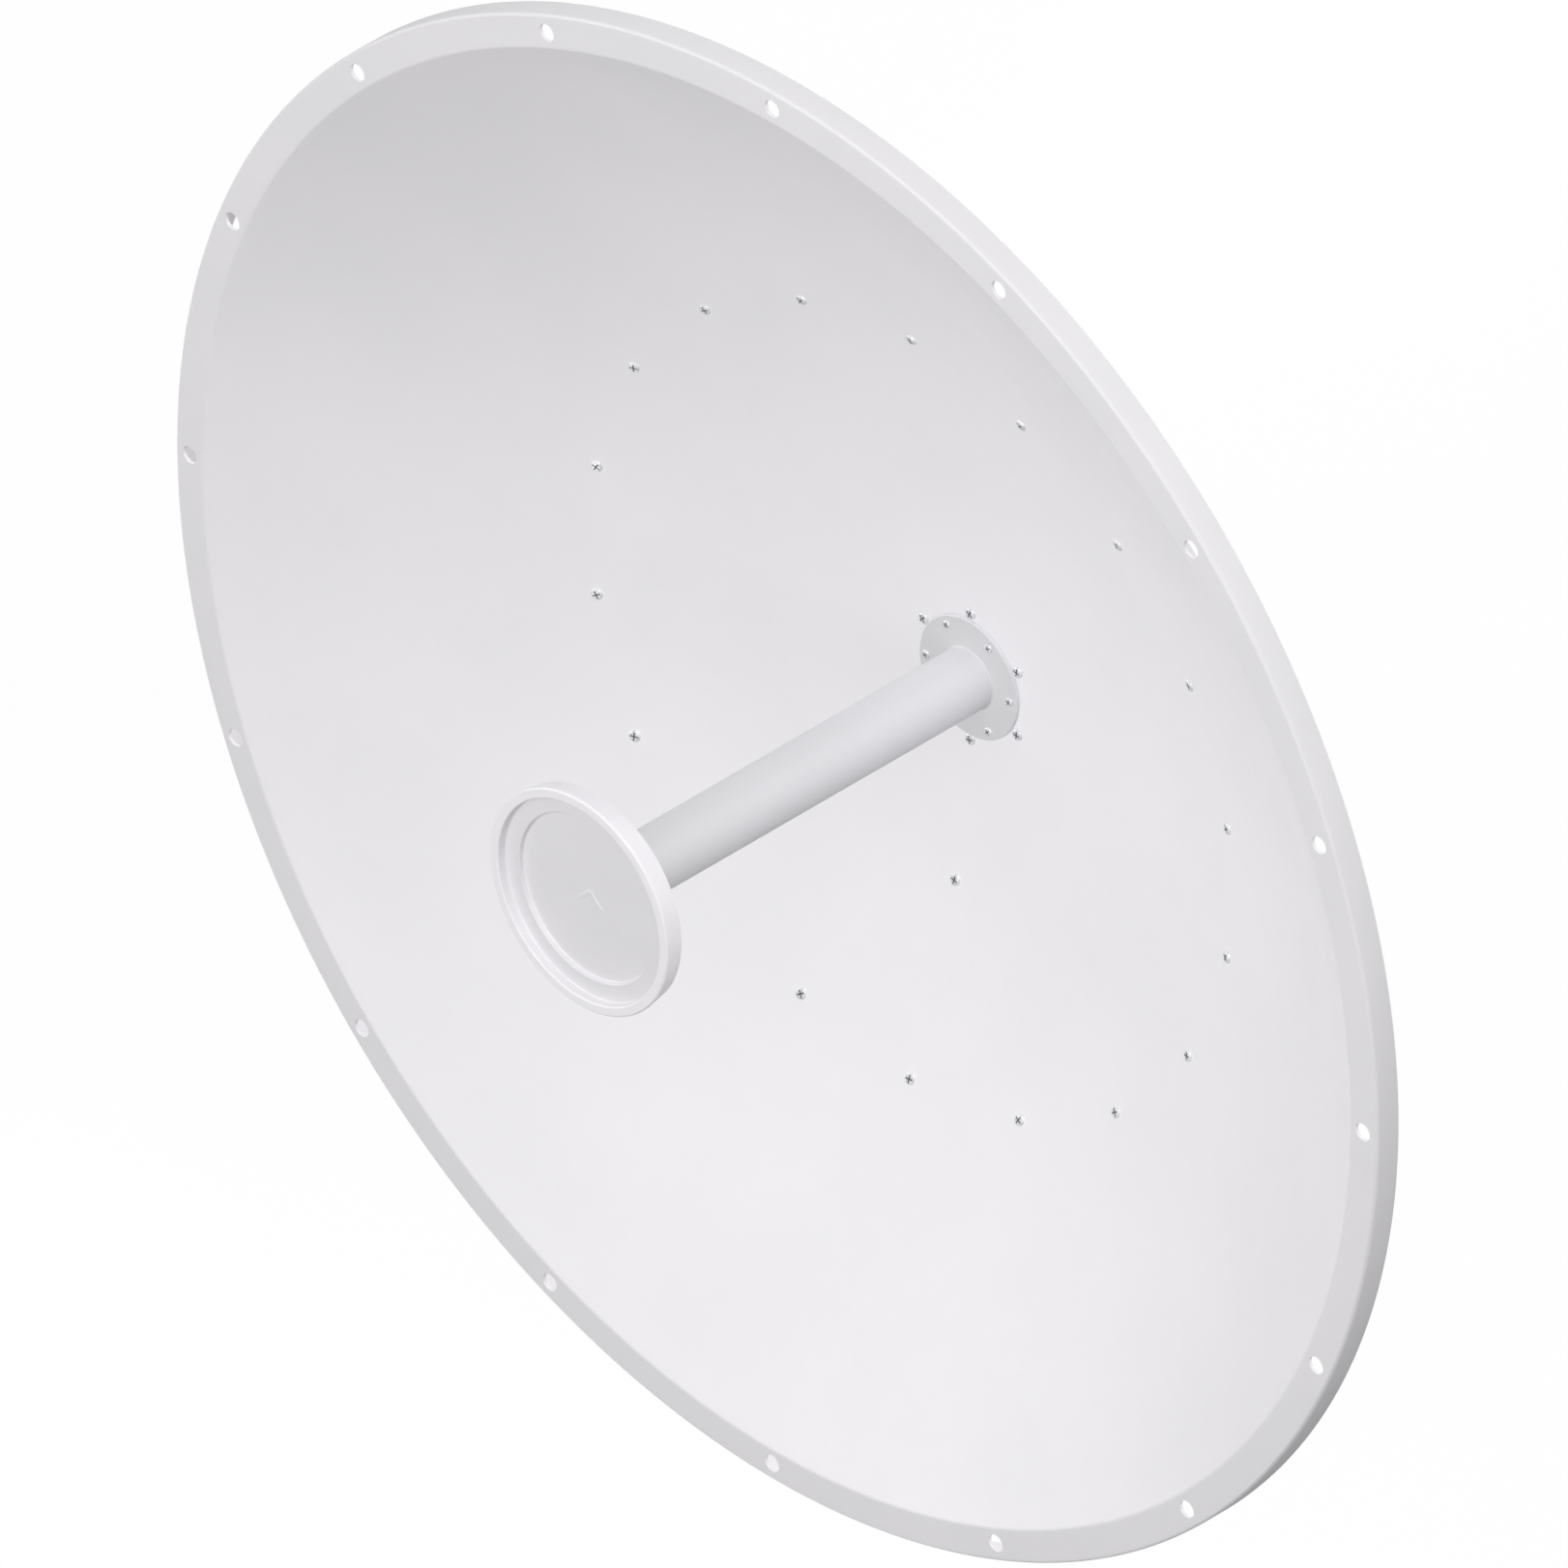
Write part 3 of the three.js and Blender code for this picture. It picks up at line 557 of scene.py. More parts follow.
PAINT_DISH = powder_coat("paint_dish", (0.744, 0.730, 0.752), spun=True)
PAINT_BACK = powder_coat("paint_parts", (0.735, 0.723, 0.743))
PAINT_TUBE = powder_coat("paint_tube", (0.562, 0.562, 0.578), rough=0.5)
PLASTIC_CAP = moulded("plastic_cap", (0.745, 0.731, 0.752))
PLASTIC_CAP_SHADED_FACE = moulded("plastic_cap_painted_shade", (0.640, 0.629, 0.648))   # painted shade: darker tone for the face inside the ring, its step and walls, and the chevron on it
DIELECTRIC = moulded("dielectric", (0.82, 0.80, 0.75), rough=0.42, grain=700.0)
ALLOY = machined("machined_alloy")
CAST = machined("cast_alloy", (0.66, 0.67, 0.68), (0.52, 0.53, 0.54), rough=0.45)
RUBBER = rubber("gasket_rubber")
GOLD = gold("jack_gold")
GALV = galvanised("galvanised_steel")
ZINC = plated("bright_zinc")
SCREW_ZINC = plated("screw_zinc", (0.72, 0.72, 0.74), (0.52, 0.52, 0.55), 0.40, 0.45)
# painted shade: near-black tone for the cross recess of the screw heads
SCREW_RECESS_SHADE = plated("screw_recess_painted_shade", (0.12, 0.12, 0.125), (0.06, 0.06, 0.065), 0.55, 0.5)


def add(name, me, body, material, nodes=(), matrix=None):
    o = bpy.data.objects.new(name, me)
    scene.collection.objects.link(o)
    if matrix is not None:
        o.matrix_world = matrix
    if not me.materials:
        me.materials.append(material)
    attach(o, body)
    if nodes:
        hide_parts(*nodes)
    return o


AT_DISH = Matrix.Translation(DISH * MM)


# ------------------------------------------------------------------ reflector
def front(r):
    return -r * r / (4 * FOCAL)


def lean(r):
    return math.atan(r / (2 * FOCAL))


SKIN, RIM_Y, RIM_R, SKIRT = 2.3, -176.7, 525.0, 19.4
flat_r = math.sqrt(4 * FOCAL)
steps = [flat_r + 0.6, 44.0] + [44.0 + (500.2 - 44.0) * i / 44 for i in range(1, 45)]
face = [(r, front(r)) for r in steps]
rear = [(r + SKIN * math.sin(lean(r)), front(r) + SKIN * math.cos(lean(r))) for r in steps]
r_end = steps[-1]
slope_end = r_end / (2 * FOCAL)
# bowl to flange: a bend of 3.5 mm, then the flat, the outer bend of 2 mm, the skirt and its hem
bend_front = rounded([(r_end - 6, front(r_end - 6)), (501.9, RIM_Y, 4.2), (RIM_R, RIM_Y, 2.2), (RIM_R, RIM_Y + SKIRT)], closed=False, seg=8, support=0.0)[1:-1]
bend_back = rounded([(RIM_R - SKIN, RIM_Y + SKIRT), (RIM_R - SKIN, RIM_Y + SKIN, 1.2), (503.2, RIM_Y + SKIN, 2.6), (r_end - 6, front(r_end - 6) + SKIN)], closed=False, seg=8, support=0.0)[1:-1]
profile = [(21.8, -1.0 + 0.3), (22.1, -1.0)] + [(30.0, -1.0), (flat_r - 0.8, -1.0)]
profile += [p for p in face if p[0] < 497.0] + bend_front[:9] + [(505.6, RIM_Y), (520.6, RIM_Y)] + bend_front[9:]
profile += [(RIM_R, RIM_Y + 3.4), (RIM_R, RIM_Y + SKIRT - 1.4), (RIM_R - 0.25, RIM_Y + SKIRT - 0.5), (RIM_R - 0.8, RIM_Y + SKIRT), (RIM_R - 1.6, RIM_Y + SKIRT),
            (RIM_R - SKIN, RIM_Y + SKIRT - 0.5), (RIM_R - SKIN, RIM_Y + SKIRT - 1.4), (RIM_R - SKIN, RIM_Y + SKIN + 2.2)]
profile += bend_back[:9] + [(520.0, RIM_Y + SKIN), (505.9, RIM_Y + SKIN)] + bend_back[9:]
profile += [p for p in reversed(rear) if p[0] < 497.0 and p[0] > flat_r + 0.2]
profile += [(flat_r, -1.0 + SKIN), (30.0, -1.0 + SKIN), (22.1, -1.0 + SKIN), (21.8, -1.0 + SKIN - 0.3)]
me = turned("reflector_fine", profile, 384, True, 24)
cutters = []
for i in range(16):
    t = rad(22.5 * i)
    cutters.append(moved(turned("c", [(0, RIM_Y - 4), (7.6, RIM_Y - 4), (6.0, RIM_Y + 0.35), (6.0, RIM_Y + 5), (0, RIM_Y + 5)], 40, False), T(512.5 * math.cos(t), 0, 512.5 * math.sin(t))))
me = shade(boolean(me, merged("cutters", cutters)), 24)
add("reflector_fine", me, "dish", PAINT_DISH, ["reflector"], AT_DISH)


# ------------------------------------------------------------------ screws with a cross recess
def cross_cutter(top, arm, width, depth, head_y):
    def plus(a, w, y):
        p = [(w, a), (-w, a), (-w, w), (-a, w), (-a, -w), (-w, -w), (-w, -a), (w, -a), (w, -w), (a, -w), (a, w), (w, w)]
        return [(u, y, v) for u, v in p]
    v = plus(arm * 1.05, width, head_y - 1.0) + plus(arm, width, head_y) + plus(arm * 0.32, width * 0.55, head_y + depth)
    f = [tuple(range(12)), tuple(range(24, 36))]
    for L in (0, 12):
        f += [(L + k, L + (k + 1) % 12, L + 12 + (k + 1) % 12, L + 12 + k) for k in range(12)]
    return mesh("cross", v, f, 20)


def pan_screw(name, R, H, shank, length):
    head = rounded([(0, -H), (R * 0.80, -H, R * 0.22), (R, -H * 0.58, R * 0.30), (R, 0, 0.12), (shank, 0), (shank, length), (0, length)], closed=False, seg=7, support=0.0)
    me = turned(name, head, 40, False, 50)
    me = boolean(me, cross_cutter(0, R * 0.70, R * 0.12, H * 0.55, -H))
    # painted shade: faces inside the cross recess take the dark second material
    for p in me.polygons:
        c = p.center * 1000
        rho = math.hypot(c.x, c.z)
        if rho < R * 0.72 and -H + 0.04 < c.y < -0.2 * H and (abs(p.normal.y) < 0.9 or c.y > -H * 0.7):
            p.material_index = 1
    return shade(me, 40)


big = pan_screw("screw_big", 3.95, 1.7, 1.55, 1.0)
tail_big = threaded(1.6, 0.8, 0.4, 9.0, 14, tip=0.5)
hub_screw = merged("hub_screw_fine", [big.copy(), tail_big])
small = pan_screw("screw_small", 3.05, 1.45, 1.55, 1.0)
flange_screw = merged("flange_screw_fine", [small, threaded(1.6, 0.8, 0.4, 13.0, 14, tip=0.5)])
ring_screw = merged("ring_screw_fine", [big, threaded(1.95, 0.9, 0.4, 12.0, 14, tip=0.5)])
for m in (hub_screw, flange_screw, ring_screw):
    shade(m, 40)
    m.materials.append(SCREW_ZINC)
    m.materials.append(SCREW_RECESS_SHADE)
for i in range(6):
    lo, hi, c = cad(f"hub_screw_{i + 1}")
    t = rad(30 + 60 * i)
    lean_at = Matrix.Rotation(0.0, 4, "X")
    add(f"hub_screw_{i + 1}_fine", hub_screw, "dish", SCREW_ZINC, [f"hub_screw_{i + 1}"],
        Matrix.Translation(Vector((c.x, lo.y + 2.4, c.z)) * MM) @ Matrix.Rotation(rad(17 * i + 8), 4, "Y"))
    lo, hi, c = cad(f"flange_screw_{i + 1}")
    add(f"flange_screw_{i + 1}_fine", flange_screw, "dish", SCREW_ZINC, [f"flange_screw_{i + 1}"],
        Matrix.Translation(Vector((c.x, lo.y + 2.0 + 0.25, c.z)) * MM) @ Matrix.Rotation(rad(41 * i + 20), 4, "Y"))


def on_bowl(r, deg, lift=0.05, spin=0.0):
    """Matrix of a screw seated square on the bowl's front face."""
    t = rad(deg)
    n = Vector((-math.cos(t) * math.sin(lean(r)), -math.cos(lean(r)), -math.sin(t) * math.sin(lean(r))))
    q = Vector((0, -1, 0)).rotation_difference(n)
    p = DISH + Vector((r * math.cos(t), front(r), r * math.sin(t))) + n * lift
    return Matrix.Translation(p * MM) @ q.to_matrix().to_4x4() @ Matrix.Rotation(rad(spin), 4, "Y")


lone = add("radio_mount_screw_fine", hub_screw, "dish", SCREW_ZINC, ["radio_mount_screw"], on_bowl(148, 270, 0.05, 12))
nut5 = hex_body(4.6, 0.0, 3.6, both=True, bore=2.05, pitch=0.9)
wash5 = washer(2.1, 5.2, -1.0, -0.05)
ring_nut = merged("ring_nut_fine", [nut5, wash5])
ring_nut.materials.append(ZINC)
n_screw = 0
for k in range(18):
    deg = 90 + 20 * k
    if deg % 360 == 230:
        continue
    n_screw += 1
    place = on_bowl(280, deg, 0.05, 29 * k + 5)
    add(f"ring_screw_{n_screw:02d}", ring_screw, "dish", SCREW_ZINC, (), place)
    add(f"ring_nut_{n_screw:02d}", ring_nut, "dish", ZINC, (), on_bowl(280, deg, 0.05, 13 * k) @ T(0, 6.85, 0))

# ------------------------------------------------------------------ feed: flange and tube, cone, sub-reflector, cap
tube = turned("feed_tube_fine", rounded([
    (19.5, -304.0, .3), (21.3, -304.0, .4), (21.3, -5.0, 1.2), (42.6, -5.0, .7), (42.6, -2.3, .5), (21.3, -2.3, .2), (21.3, 25.0, .4), (19.5, 25.0, .3)],
    seg=6, support=0.25), 160, True, 30)
add("feed_tube_fine", tube, "dish", PAINT_TUBE, ["feed_tube"], AT_DISH)
cone = turned("feed_cone_fine", rounded([
    (19.2, -284.0, .5), (19.2, -304.3, .2), (22.8, -304.3, .6), (22.8, -309.0, 2), (30.0, -318.0, 3), (48.0, -328.0, 2), (50.0, -330.3, .6), (12.0, -330.3, 1),
    (9.0, -300.0, 3), (14.0, -284.0, .5)], seg=6), 128)
add("feed_cone_fine", cone, "dish", DIELECTRIC, ["feed_cone"], AT_DISH)
sub = turned("sub_reflector_fine", rounded([(0, -330.8), (12, -330.8, .4), (14, -331.1, .4), (70.8, -331.1, .3), (71.3, -330.8, .2), (72.6, -330.8, .5), (72.6, -332.9, .5), (0, -332.9)], closed=False, seg=4), 128, False)
add("sub_reflector_fine", sub, "dish", ALLOY, ["sub_reflector"], AT_DISH)
cap_profile = rounded([
    (0, -335.4), (58.4, -335.4, .8), (58.4, -339.0, .6), (70.6, -339.0, .9), (70.6, -345.5, 1.0), (78.0, -345.5, 1.9), (77.4, -342.0, .8), (75.5, -330.5, .9),
    (73.0, -330.5, .5), (73.0, -333.2, .3), (0, -333.2)], closed=False, seg=7, support=0.2)
cap = turned("feed_cap_fine", cap_profile, 256, False, 30)
cap.materials.append(PLASTIC_CAP)
cap.materials.append(PLASTIC_CAP_SHADED_FACE)
# painted shade: every face inside the ring's inner edge (floor, step and walls) takes the darker second material
for p in cap.polygons:
    c = p.center
    if math.hypot(c.x, c.z) * 1000 < 70.7 and -c.y * 1000 < 345.4:
        p.material_index = 1
add("feed_cap_fine", cap, "dish", PLASTIC_CAP, ["feed_cap"], AT_DISH)
# generic mark: a plain upward chevron that shows which way up the feed goes
chev = [(-11, -5, .8), (-11, -9.5, .8), (0, 1.0, .6), (11, -9.5, .8), (11, -5, .8), (0, 5.6, 1.2)]
mark = plate(rounded(chev, seg=5, support=0), -336.0, -335.35, "y", bevel=0.28)
# the chevron takes the same painted-shade tone as the recess it sits in
add("feed_cap_mark", mark, "dish", PLASTIC_CAP_SHADED_FACE, (), AT_DISH)

# ------------------------------------------------------------------ behind the hub: plate, gasket, housing, jacks
gasket = turned("feed_gasket_fine", rounded([(21.8, -2.0, .2), (33.0, -2.0, .3), (33.0, -1.3, .3), (21.8, -1.3, .2)], seg=3, support=0.05), 96)
add("feed_gasket_fine", gasket, "dish", RUBBER, ["feed_gasket"], AT_DISH)
hub = turned("hub_plate_fine", rounded([(21.8, 1.6, .3), (55.0, 1.6, .5), (55.0, 6.6, .8), (21.8, 6.6, .4)], seg=4), 160)
add("hub_plate_fine", hub, "dish", ALLOY, ["hub_plate"], AT_DISH)
housing = [turned("h", rounded([
    (21.6, 6.9, .3), (44.0, 6.9, .4), (44.0, 11.9, .9), (31.2, 13.0, 2.0), (30.0, 20.0, .4), (30.0, 58.0, .3), (27.0, 61.0, .6), (11.0, 61.0, .4), (10.0, 60.2, .3), (0, 60.2), (0, 54.0),
    (19.5, 54.0, .3), (19.5, 25.3, .2), (21.6, 25.3, .2)], closed=False, seg=5), 160, False)]
housing = [turned("h", rounded([
    (0, 54.0), (19.5, 54.0, .3), (19.5, 25.3, .2), (21.6, 25.3, .2), (21.6, 6.9, .3), (44.0, 6.9, .4), (44.0, 11.9, .9), (31.2, 13.0, 2.0), (30.0, 17.0, .4), (30.0, 58.0, .3), (27.0, 61.0, .6),
    (11.0, 61.0, .4), (10.0, 60.2, .3), (0, 60.2)], closed=False, seg=5), 160, False)]
for k in range(6):
    t = rad(30 + 60 * k)
    rib = plate([(28.5, 12.0), (41.0, 12.0), (31.5, 19.5), (28.5, 22.0)], -1.3, 1.3, "z", bevel=0.4)
    housing.append(moved(rib, Matrix.Rotation(-t, 4, "Y")))
housing.append(block(-9.5, 9.5, 26.5, 45.5, -30.25, -22.0, 0.8))
housing.append(block(22.0, 30.25, 36.5, 55.5, -9.5, 9.5, 0.8))
for k in range(4):
    t = rad(45 + 90 * k)
    housing.append(moved(pan_screw("hs", 2.4, 1.5, 1.2, 3.0), T(20.5 * math.cos(t), 61.0, 20.5 * math.sin(t)) @ Matrix.Rotation(math.pi, 4, "X") @ Matrix.Rotation(rad(25 * k), 4, "Y")))
hm = shade(merged("feed_housing_fine", housing), 35)
add("feed_housing_fine", hm, "dish", CAST, ["feed_housing"], AT_DISH)


def jack():
    """Coaxial jack along +Y: square flange with four screws, threaded barrel, white insert, pin and its probe."""
    base = plate(rounded([(-8, -8, 1.4), (8, -8, 1.4), (8, 8, 1.4), (-8, 8, 1.4)], seg=4, support=0), 30.4, 33.3, "y", bevel=0.35)
    barrel = turned("b", rounded([(4.4, 37.0, .1), (4.4, 45.8, .3), (5.1, 46.0, .2), (5.6, 45.5, .1), (5.6, 33.0), (4.0, 33.0), (4.0, 37.0)], seg=3, support=0), 40)
    body = [base, barrel]
    for i in range(9):
        y = 35.0 + i * 1.1
        body.append(turned("r", [(5.2, y - 0.42), (5.95, y - 0.08), (5.95, y + 0.08), (5.2, y + 0.42)], 40, True, 60))
    body.append(turned("pr", [(0, 10.2), (1.2, 10.2), (1.5, 10.6), (1.5, 30.6), (0, 30.6)], 20, False))
    body.append(turned("pin", [(0, 36.4), (0.95, 36.4), (0.95, 43.2), (0.5, 44.0), (0, 44.0)], 20, False))
    for sx in (-1, 1):
        for sz in (-1, 1):
            body.append(moved(pan_screw("js", 1.35, 0.9, 0.7, 1.5), T(sx * 5.7, 33.3, sz * 5.7) @ Matrix.Rotation(math.pi, 4, "X")))
    out = merged("jack", body)
    white = turned("w", [(1.0, 33.1), (4.35, 33.1), (4.35, 37.2), (1.0, 37.2)], 32, True)
    return out, white


jack_me, insert_me = jack()
jack_me.materials.append(GOLD)
insert_me.materials.append(DIELECTRIC)
to_v = AT_DISH @ T(0, 36, 0) @ Matrix.Rotation(-math.pi / 2, 4, "X")
to_h = AT_DISH @ T(0, 46, 0) @ Matrix.Rotation(-math.pi / 2, 4, "Z")
for word, m in (("vertical", to_v), ("horizontal", to_h)):
    add(f"rf_jack_{word}_fine", jack_me, "dish", GOLD, [f"rf_jack_{word}"], m)
    add(f"rf_jack_{word}_insert", insert_me, "dish", DIELECTRIC, (), m)

# ------------------------------------------------------------------ radio mount
z0, tilt = -148.0, lean(148)
foot = turned("foot", rounded([(2.0, 2.9, .3), (11.0, 2.9, .5), (11.0, 36.0), (2.0, 36.0)], seg=3, support=0), 48)
foot.transform(T(0, front(148), z0) @ Matrix.Rotation(-tilt, 4, "X"))


def back(r):
    return front(r) + SKIN / math.cos(lean(r))


slab = lambda x0, x1, y0, y1, za, zb: block(x0, x1, y0, y1, za, zb, 0)
rail = plate(rounded([(-29, -200, 3), (29, -200, 3), (29, -108, 3), (-29, -108, 3)], seg=4, support=0), 18, 21, "y",
             [rounded([(-12, -186, 1.5), (12, -186, 1.5), (12, -178, 1.5), (-12, -178, 1.5)], seg=3, support=0),
              rounded([(-12, -126, 1.5), (12, -126, 1.5), (12, -118, 1.5), (-12, -118, 1.5)], seg=3, support=0),
              circle(0, -148.5, 4.2, 24)], bevel=0.5)
foot = boolean(foot, slab(-40, 40, 19.5, 80, -220, -90))
legs = [block(-22, 22, back(108) + 1.8, 19.0, -111, -108, 0.5), block(-22, 22, back(200) + 1.0, 19.0, -200, -197, 0.5)]
lips = []
for s in (-1, 1):
    x0, x1 = sorted((s * 26, s * 34))
    lips.append(plate(rounded([(x0, 20.4, .3), (x1, 20.4, .5), (x1, 24.0, .9), (x0, 24.0, .9)], seg=3, support=0), -192, -116, "z", bevel=0.5))
    for zc in (-170.0, -138.0):
        xa, xb = sorted((s * 20.5, s * 22.0))
        legs.append(block(xa, xb, 8.0, 18.6, zc - 1, zc + 1, 0.3))
rm = merged("radio_mount_fine", [rail, shade(foot, 35), *legs[:2], *lips])
add("radio_mount_fine", rm, "dish", PAINT_BACK, ["radio_mount"], AT_DISH)


# ------------------------------------------------------------------ back ring
def F(r):
    return front(r) + SKIN / math.cos(lean(r)) + 0.6


ring_profile = rounded([
    (294.0, F(294.0), .4), (266.4, F(266.4), 5), (247.5, 12.0, 4), (234.5, 12.0, 1.6), (234.5, 2.0, .5), (232.0, 2.0, .5), (232.0, 14.5, 3.6), (250.0, 14.5, 6), (268.9, F(268.9) + 2.6, 3),
    (294.0, F(294.0) + 2.6, .4)], seg=6, support=0.0)
ring = turned("back_ring_fine", ring_profile, 320, True, 28)
ring_cut = []
for i in range(24):
    t = rad(7.5 + 15 * i)
    if abs(math.sin(t)) < 0.35:
        continue
ring = shade(ring, 28)
add("back_ring_fine", ring, "dish", PAINT_BACK, ["back_ring"], AT_DISH)

# ------------------------------------------------------------------ mount frame (weldment)
PX = -DISH.x
ely, elz = EL_Y - DISH.y, EL_Z - DISH.z
lo, hi, _ = cad("mount_frame")
FY0 = lo.y - DISH.y
FY1 = FY0 + 4.0
web_outline = rounded([(-252, -90, 8), (-246, -112, 12), (-222, -128, 10), (-158, -128, 12), (-120, -104, 10), (-120, 104, 8), (-134, 114, 8), (-240, 114, 10), (-252, 98, 8)], seg=6, support=0)
bolts_xz = [(cad(f"frame_bolt_{i}")[2].x - DISH.x, cad(f"frame_bolt_{i}")[2].z - DISH.z) for i in range(1, 5)]
web = plate(web_outline, FY0, FY1, "y", [circle(PX, elz - 90, 4.4, 28)] + [circle(x, z, 4.4, 24) for x, z in bolts_xz[:2]], bevel=0.5)
arc18 = [(ely + 18 * math.cos(rad(-30 + 120 * i / 14)), elz + 18 * math.sin(rad(-30 + 120 * i / 14))) for i in range(15)]
ear_outline = rounded([(FY1 - 0.6, -86), (ely + 12, -86, 5), (ely + 20, -78, 6), (ely + 20, -52, 8), (ely + 17.5, -36, 10)], closed=False, seg=5, support=0) + [(ely + 17.5, -36)] + arc18 + [(ely - 18, elz + 22), (FY1 - 0.6, elz + 30)]
lock_slot = slot_hole(ely, elz, 46, -90, 10, 4.5)
ears = [plate(ear_outline, x, x + 4, "x", [circle(ely, elz, 5.3, 36), lock_slot], bevel=0.45) for x in (PX - 45, PX + 41)]
frame_parts = [web, *ears]
for zc in (66, -66):
    u = rounded([(FY0, zc - 10, 2.6), (FY0, zc + 10, 2.6), (FY0 + 11, zc + 10, .5), (FY0 + 11, zc + 7.5, .5), (FY0 + 3, zc + 7.5, 1.2), (FY0 + 3, zc - 7.5, 1.2), (FY0 + 11, zc - 7.5, .5), (FY0 + 11, zc - 10, .5)],
                seg=5, support=0)
    frame_parts.append(plate(u, PX + 47, 240, "x", bevel=0.3))
seed = 0.3
for x in (PX - 45, PX + 41):
    for dx in (-0.3, 4.3):
        frame_parts.append(bead((x + dx, FY1 + 0.2, -84), (x + dx, FY1 + 0.2, elz + 27), 2.1, seed=seed))
        seed += 0.77
for zc in (66, -66):
    for dz in (-10.2, 10.2):
        frame_parts.append(bead((-141.0, FY1 + 0.1, zc + dz), (-122.0, FY1 + 0.1, zc + dz), 1.9, seed=seed))
        seed += 0.9
frame_me = merged("mount_frame_fine", frame_parts)
add("mount_frame_fine", frame_me, "dish", GALV, ["mount_frame"], AT_DISH)


# ------------------------------------------------------------------ hexagon bolts and nuts
def hex_bolt(name, R, head, shank_r, length, thread_from, pitch):
    """Head towards -Y above y = 0, shank towards +Y. A plain washer sits under the head."""
    af = R * math.cos(rad(30))
    parts = [hex_body(R, -head - 0.6, -1.3), washer(shank_r + 0.1, R + 1.6, -1.3, 0.0), turned("neck", rounded([(0, -1.4), (shank_r, -1.4), (shank_r, thread_from), (0, thread_from)], closed=False, support=0), 32, False)]
    parts.append(threaded(shank_r, pitch, thread_from - 0.1, length, 24, tip=0.9))
    me = merged(name, parts)
    return me


def hex_nut(name, R, height, bore, pitch, washer_r=None):
    """Nut from y = 0 (its seat) to -height; a washer lies between it and the seat."""
    return merged(name, [hex_body(R, -height, -1.3, both=True, bore=bore, pitch=pitch), washer(bore + 0.15, (washer_r or R + 1.6), -1.3, 0.0)])


def to_axis(axis, p):
    """Turns -Y, where the head is, to the named direction."""
    d = {"+x": Vector((1, 0, 0)), "-x": Vector((-1, 0, 0)), "+z": Vector((0, 0, 1)), "-z": Vector((0, 0, -1)), "+y": Vector((0, 1, 0)), "-y": Vector((0, -1, 0))}[axis]
    if axis == "+y":
        q = Matrix.Rotation(math.pi, 4, "X")
    else:
        q = Vector((0, -1, 0)).rotation_difference(d).to_matrix().to_4x4()
    return Matrix.Translation(Vector(p) * MM) @ q


# frame bolts: head behind the plate, shank forward through plate and ring
fb = hex_bolt("m8_short", 7.4, 5.2, 4.0, 15.0, 3.0, 1.25)
fb.materials.append(ZINC)
fb_nut = hex_nut("m8_nut_flat", 7.0, 5.2, 4.05, 1.25, 8.2)
fb_nut.materials.append(ZINC)
for i in range(1, 5):
    lo, hi, c = cad(f"frame_bolt_{i}")
    add(f"frame_bolt_{i}_fine", fb, "dish", ZINC, [f"frame_bolt_{i}"], to_axis("+y", (c.x, hi.y - 5.2, c.z)) @ Matrix.Rotation(rad(12 + 37 * i), 4, "Y"))
# elevation bolts and nuts, along X
seat = cad("elevation_pivot_bolt")[1].x - 5 * 1.28
L10 = seat - cad("elevation_pivot_bolt")[0].x
m10_x = hex_bolt("m10_long", 9.6, 5.8, 5.0, L10, L10 - 30, 1.5)
m10_x.materials.append(ZINC)
add("elevation_pivot_bolt_fine", m10_x, "azimuth_head", ZINC, ["elevation_pivot_bolt"], to_axis("+x", (seat, EL_Y, EL_Z)) @ Matrix.Rotation(rad(11), 4, "Y"))
z_lock = cad("elevation_lock_bolt")[2].z
m8_x = hex_bolt("m8_long", 7.4, 4.6, 4.0, L10, L10 - 28, 1.25)
m8_x.materials.append(ZINC)
add("elevation_lock_bolt_fine", m8_x, "azimuth_head", ZINC, ["elevation_lock_bolt"], to_axis("+x", (seat, EL_Y, z_lock)) @ Matrix.Rotation(rad(41), 4, "Y"))
nut10 = hex_nut("m10_nut", 9.6, 8.0, 5.05, 1.5)
nut8 = hex_nut("m8_nut", 7.4, 6.5, 4.05, 1.25)
for m in (nut10, nut8):
    m.materials.append(ZINC)
nut_seat = cad("elevation_pivot_nut")[1].x
add("elevation_pivot_nut_fine", nut10, "azimuth_head", ZINC, ["elevation_pivot_nut"], to_axis("-x", (nut_seat, EL_Y, EL_Z)) @ Matrix.Rotation(rad(23), 4, "Y"))
add("elevation_lock_nut_fine", nut8, "azimuth_head", ZINC, ["elevation_lock_nut"], to_axis("-x", (nut_seat, EL_Y, z_lock)) @ Matrix.Rotation(rad(5), 4, "Y"))
# azimuth bolts and nuts, along Z
m10_z = hex_bolt("m10_short", 9.6, 5.8, 5.0, 20.3, 4.0, 1.5)
m8_z = hex_bolt("m8_mid", 7.4, 4.6, 4.0, 20.3, 4.0, 1.25)
for m in (m10_z, m8_z):
    m.materials.append(ZINC)
for word, s in (("upper", 1), ("lower", -1)):
    lo, hi, c = cad(f"azimuth_pivot_bolt_{word}")
    zs = (hi.z - 6.4) if s > 0 else (lo.z + 6.4)
    add(f"azimuth_pivot_bolt_{word}_fine", m10_z, "pole_clamp", ZINC, [f"azimuth_pivot_bolt_{word}"], to_axis("+z" if s > 0 else "-z", (c.x, c.y, zs)) @ Matrix.Rotation(rad(9 + 20 * s), 4, "Y"))
    lo, hi, c = cad(f"azimuth_pivot_nut_{word}")
    zs = hi.z if s > 0 else lo.z
    add(f"azimuth_pivot_nut_{word}_fine", nut10, "pole_clamp", ZINC, [f"azimuth_pivot_nut_{word}"], to_axis("-z" if s > 0 else "+z", (c.x, c.y, zs)) @ Matrix.Rotation(rad(31), 4, "Y"))
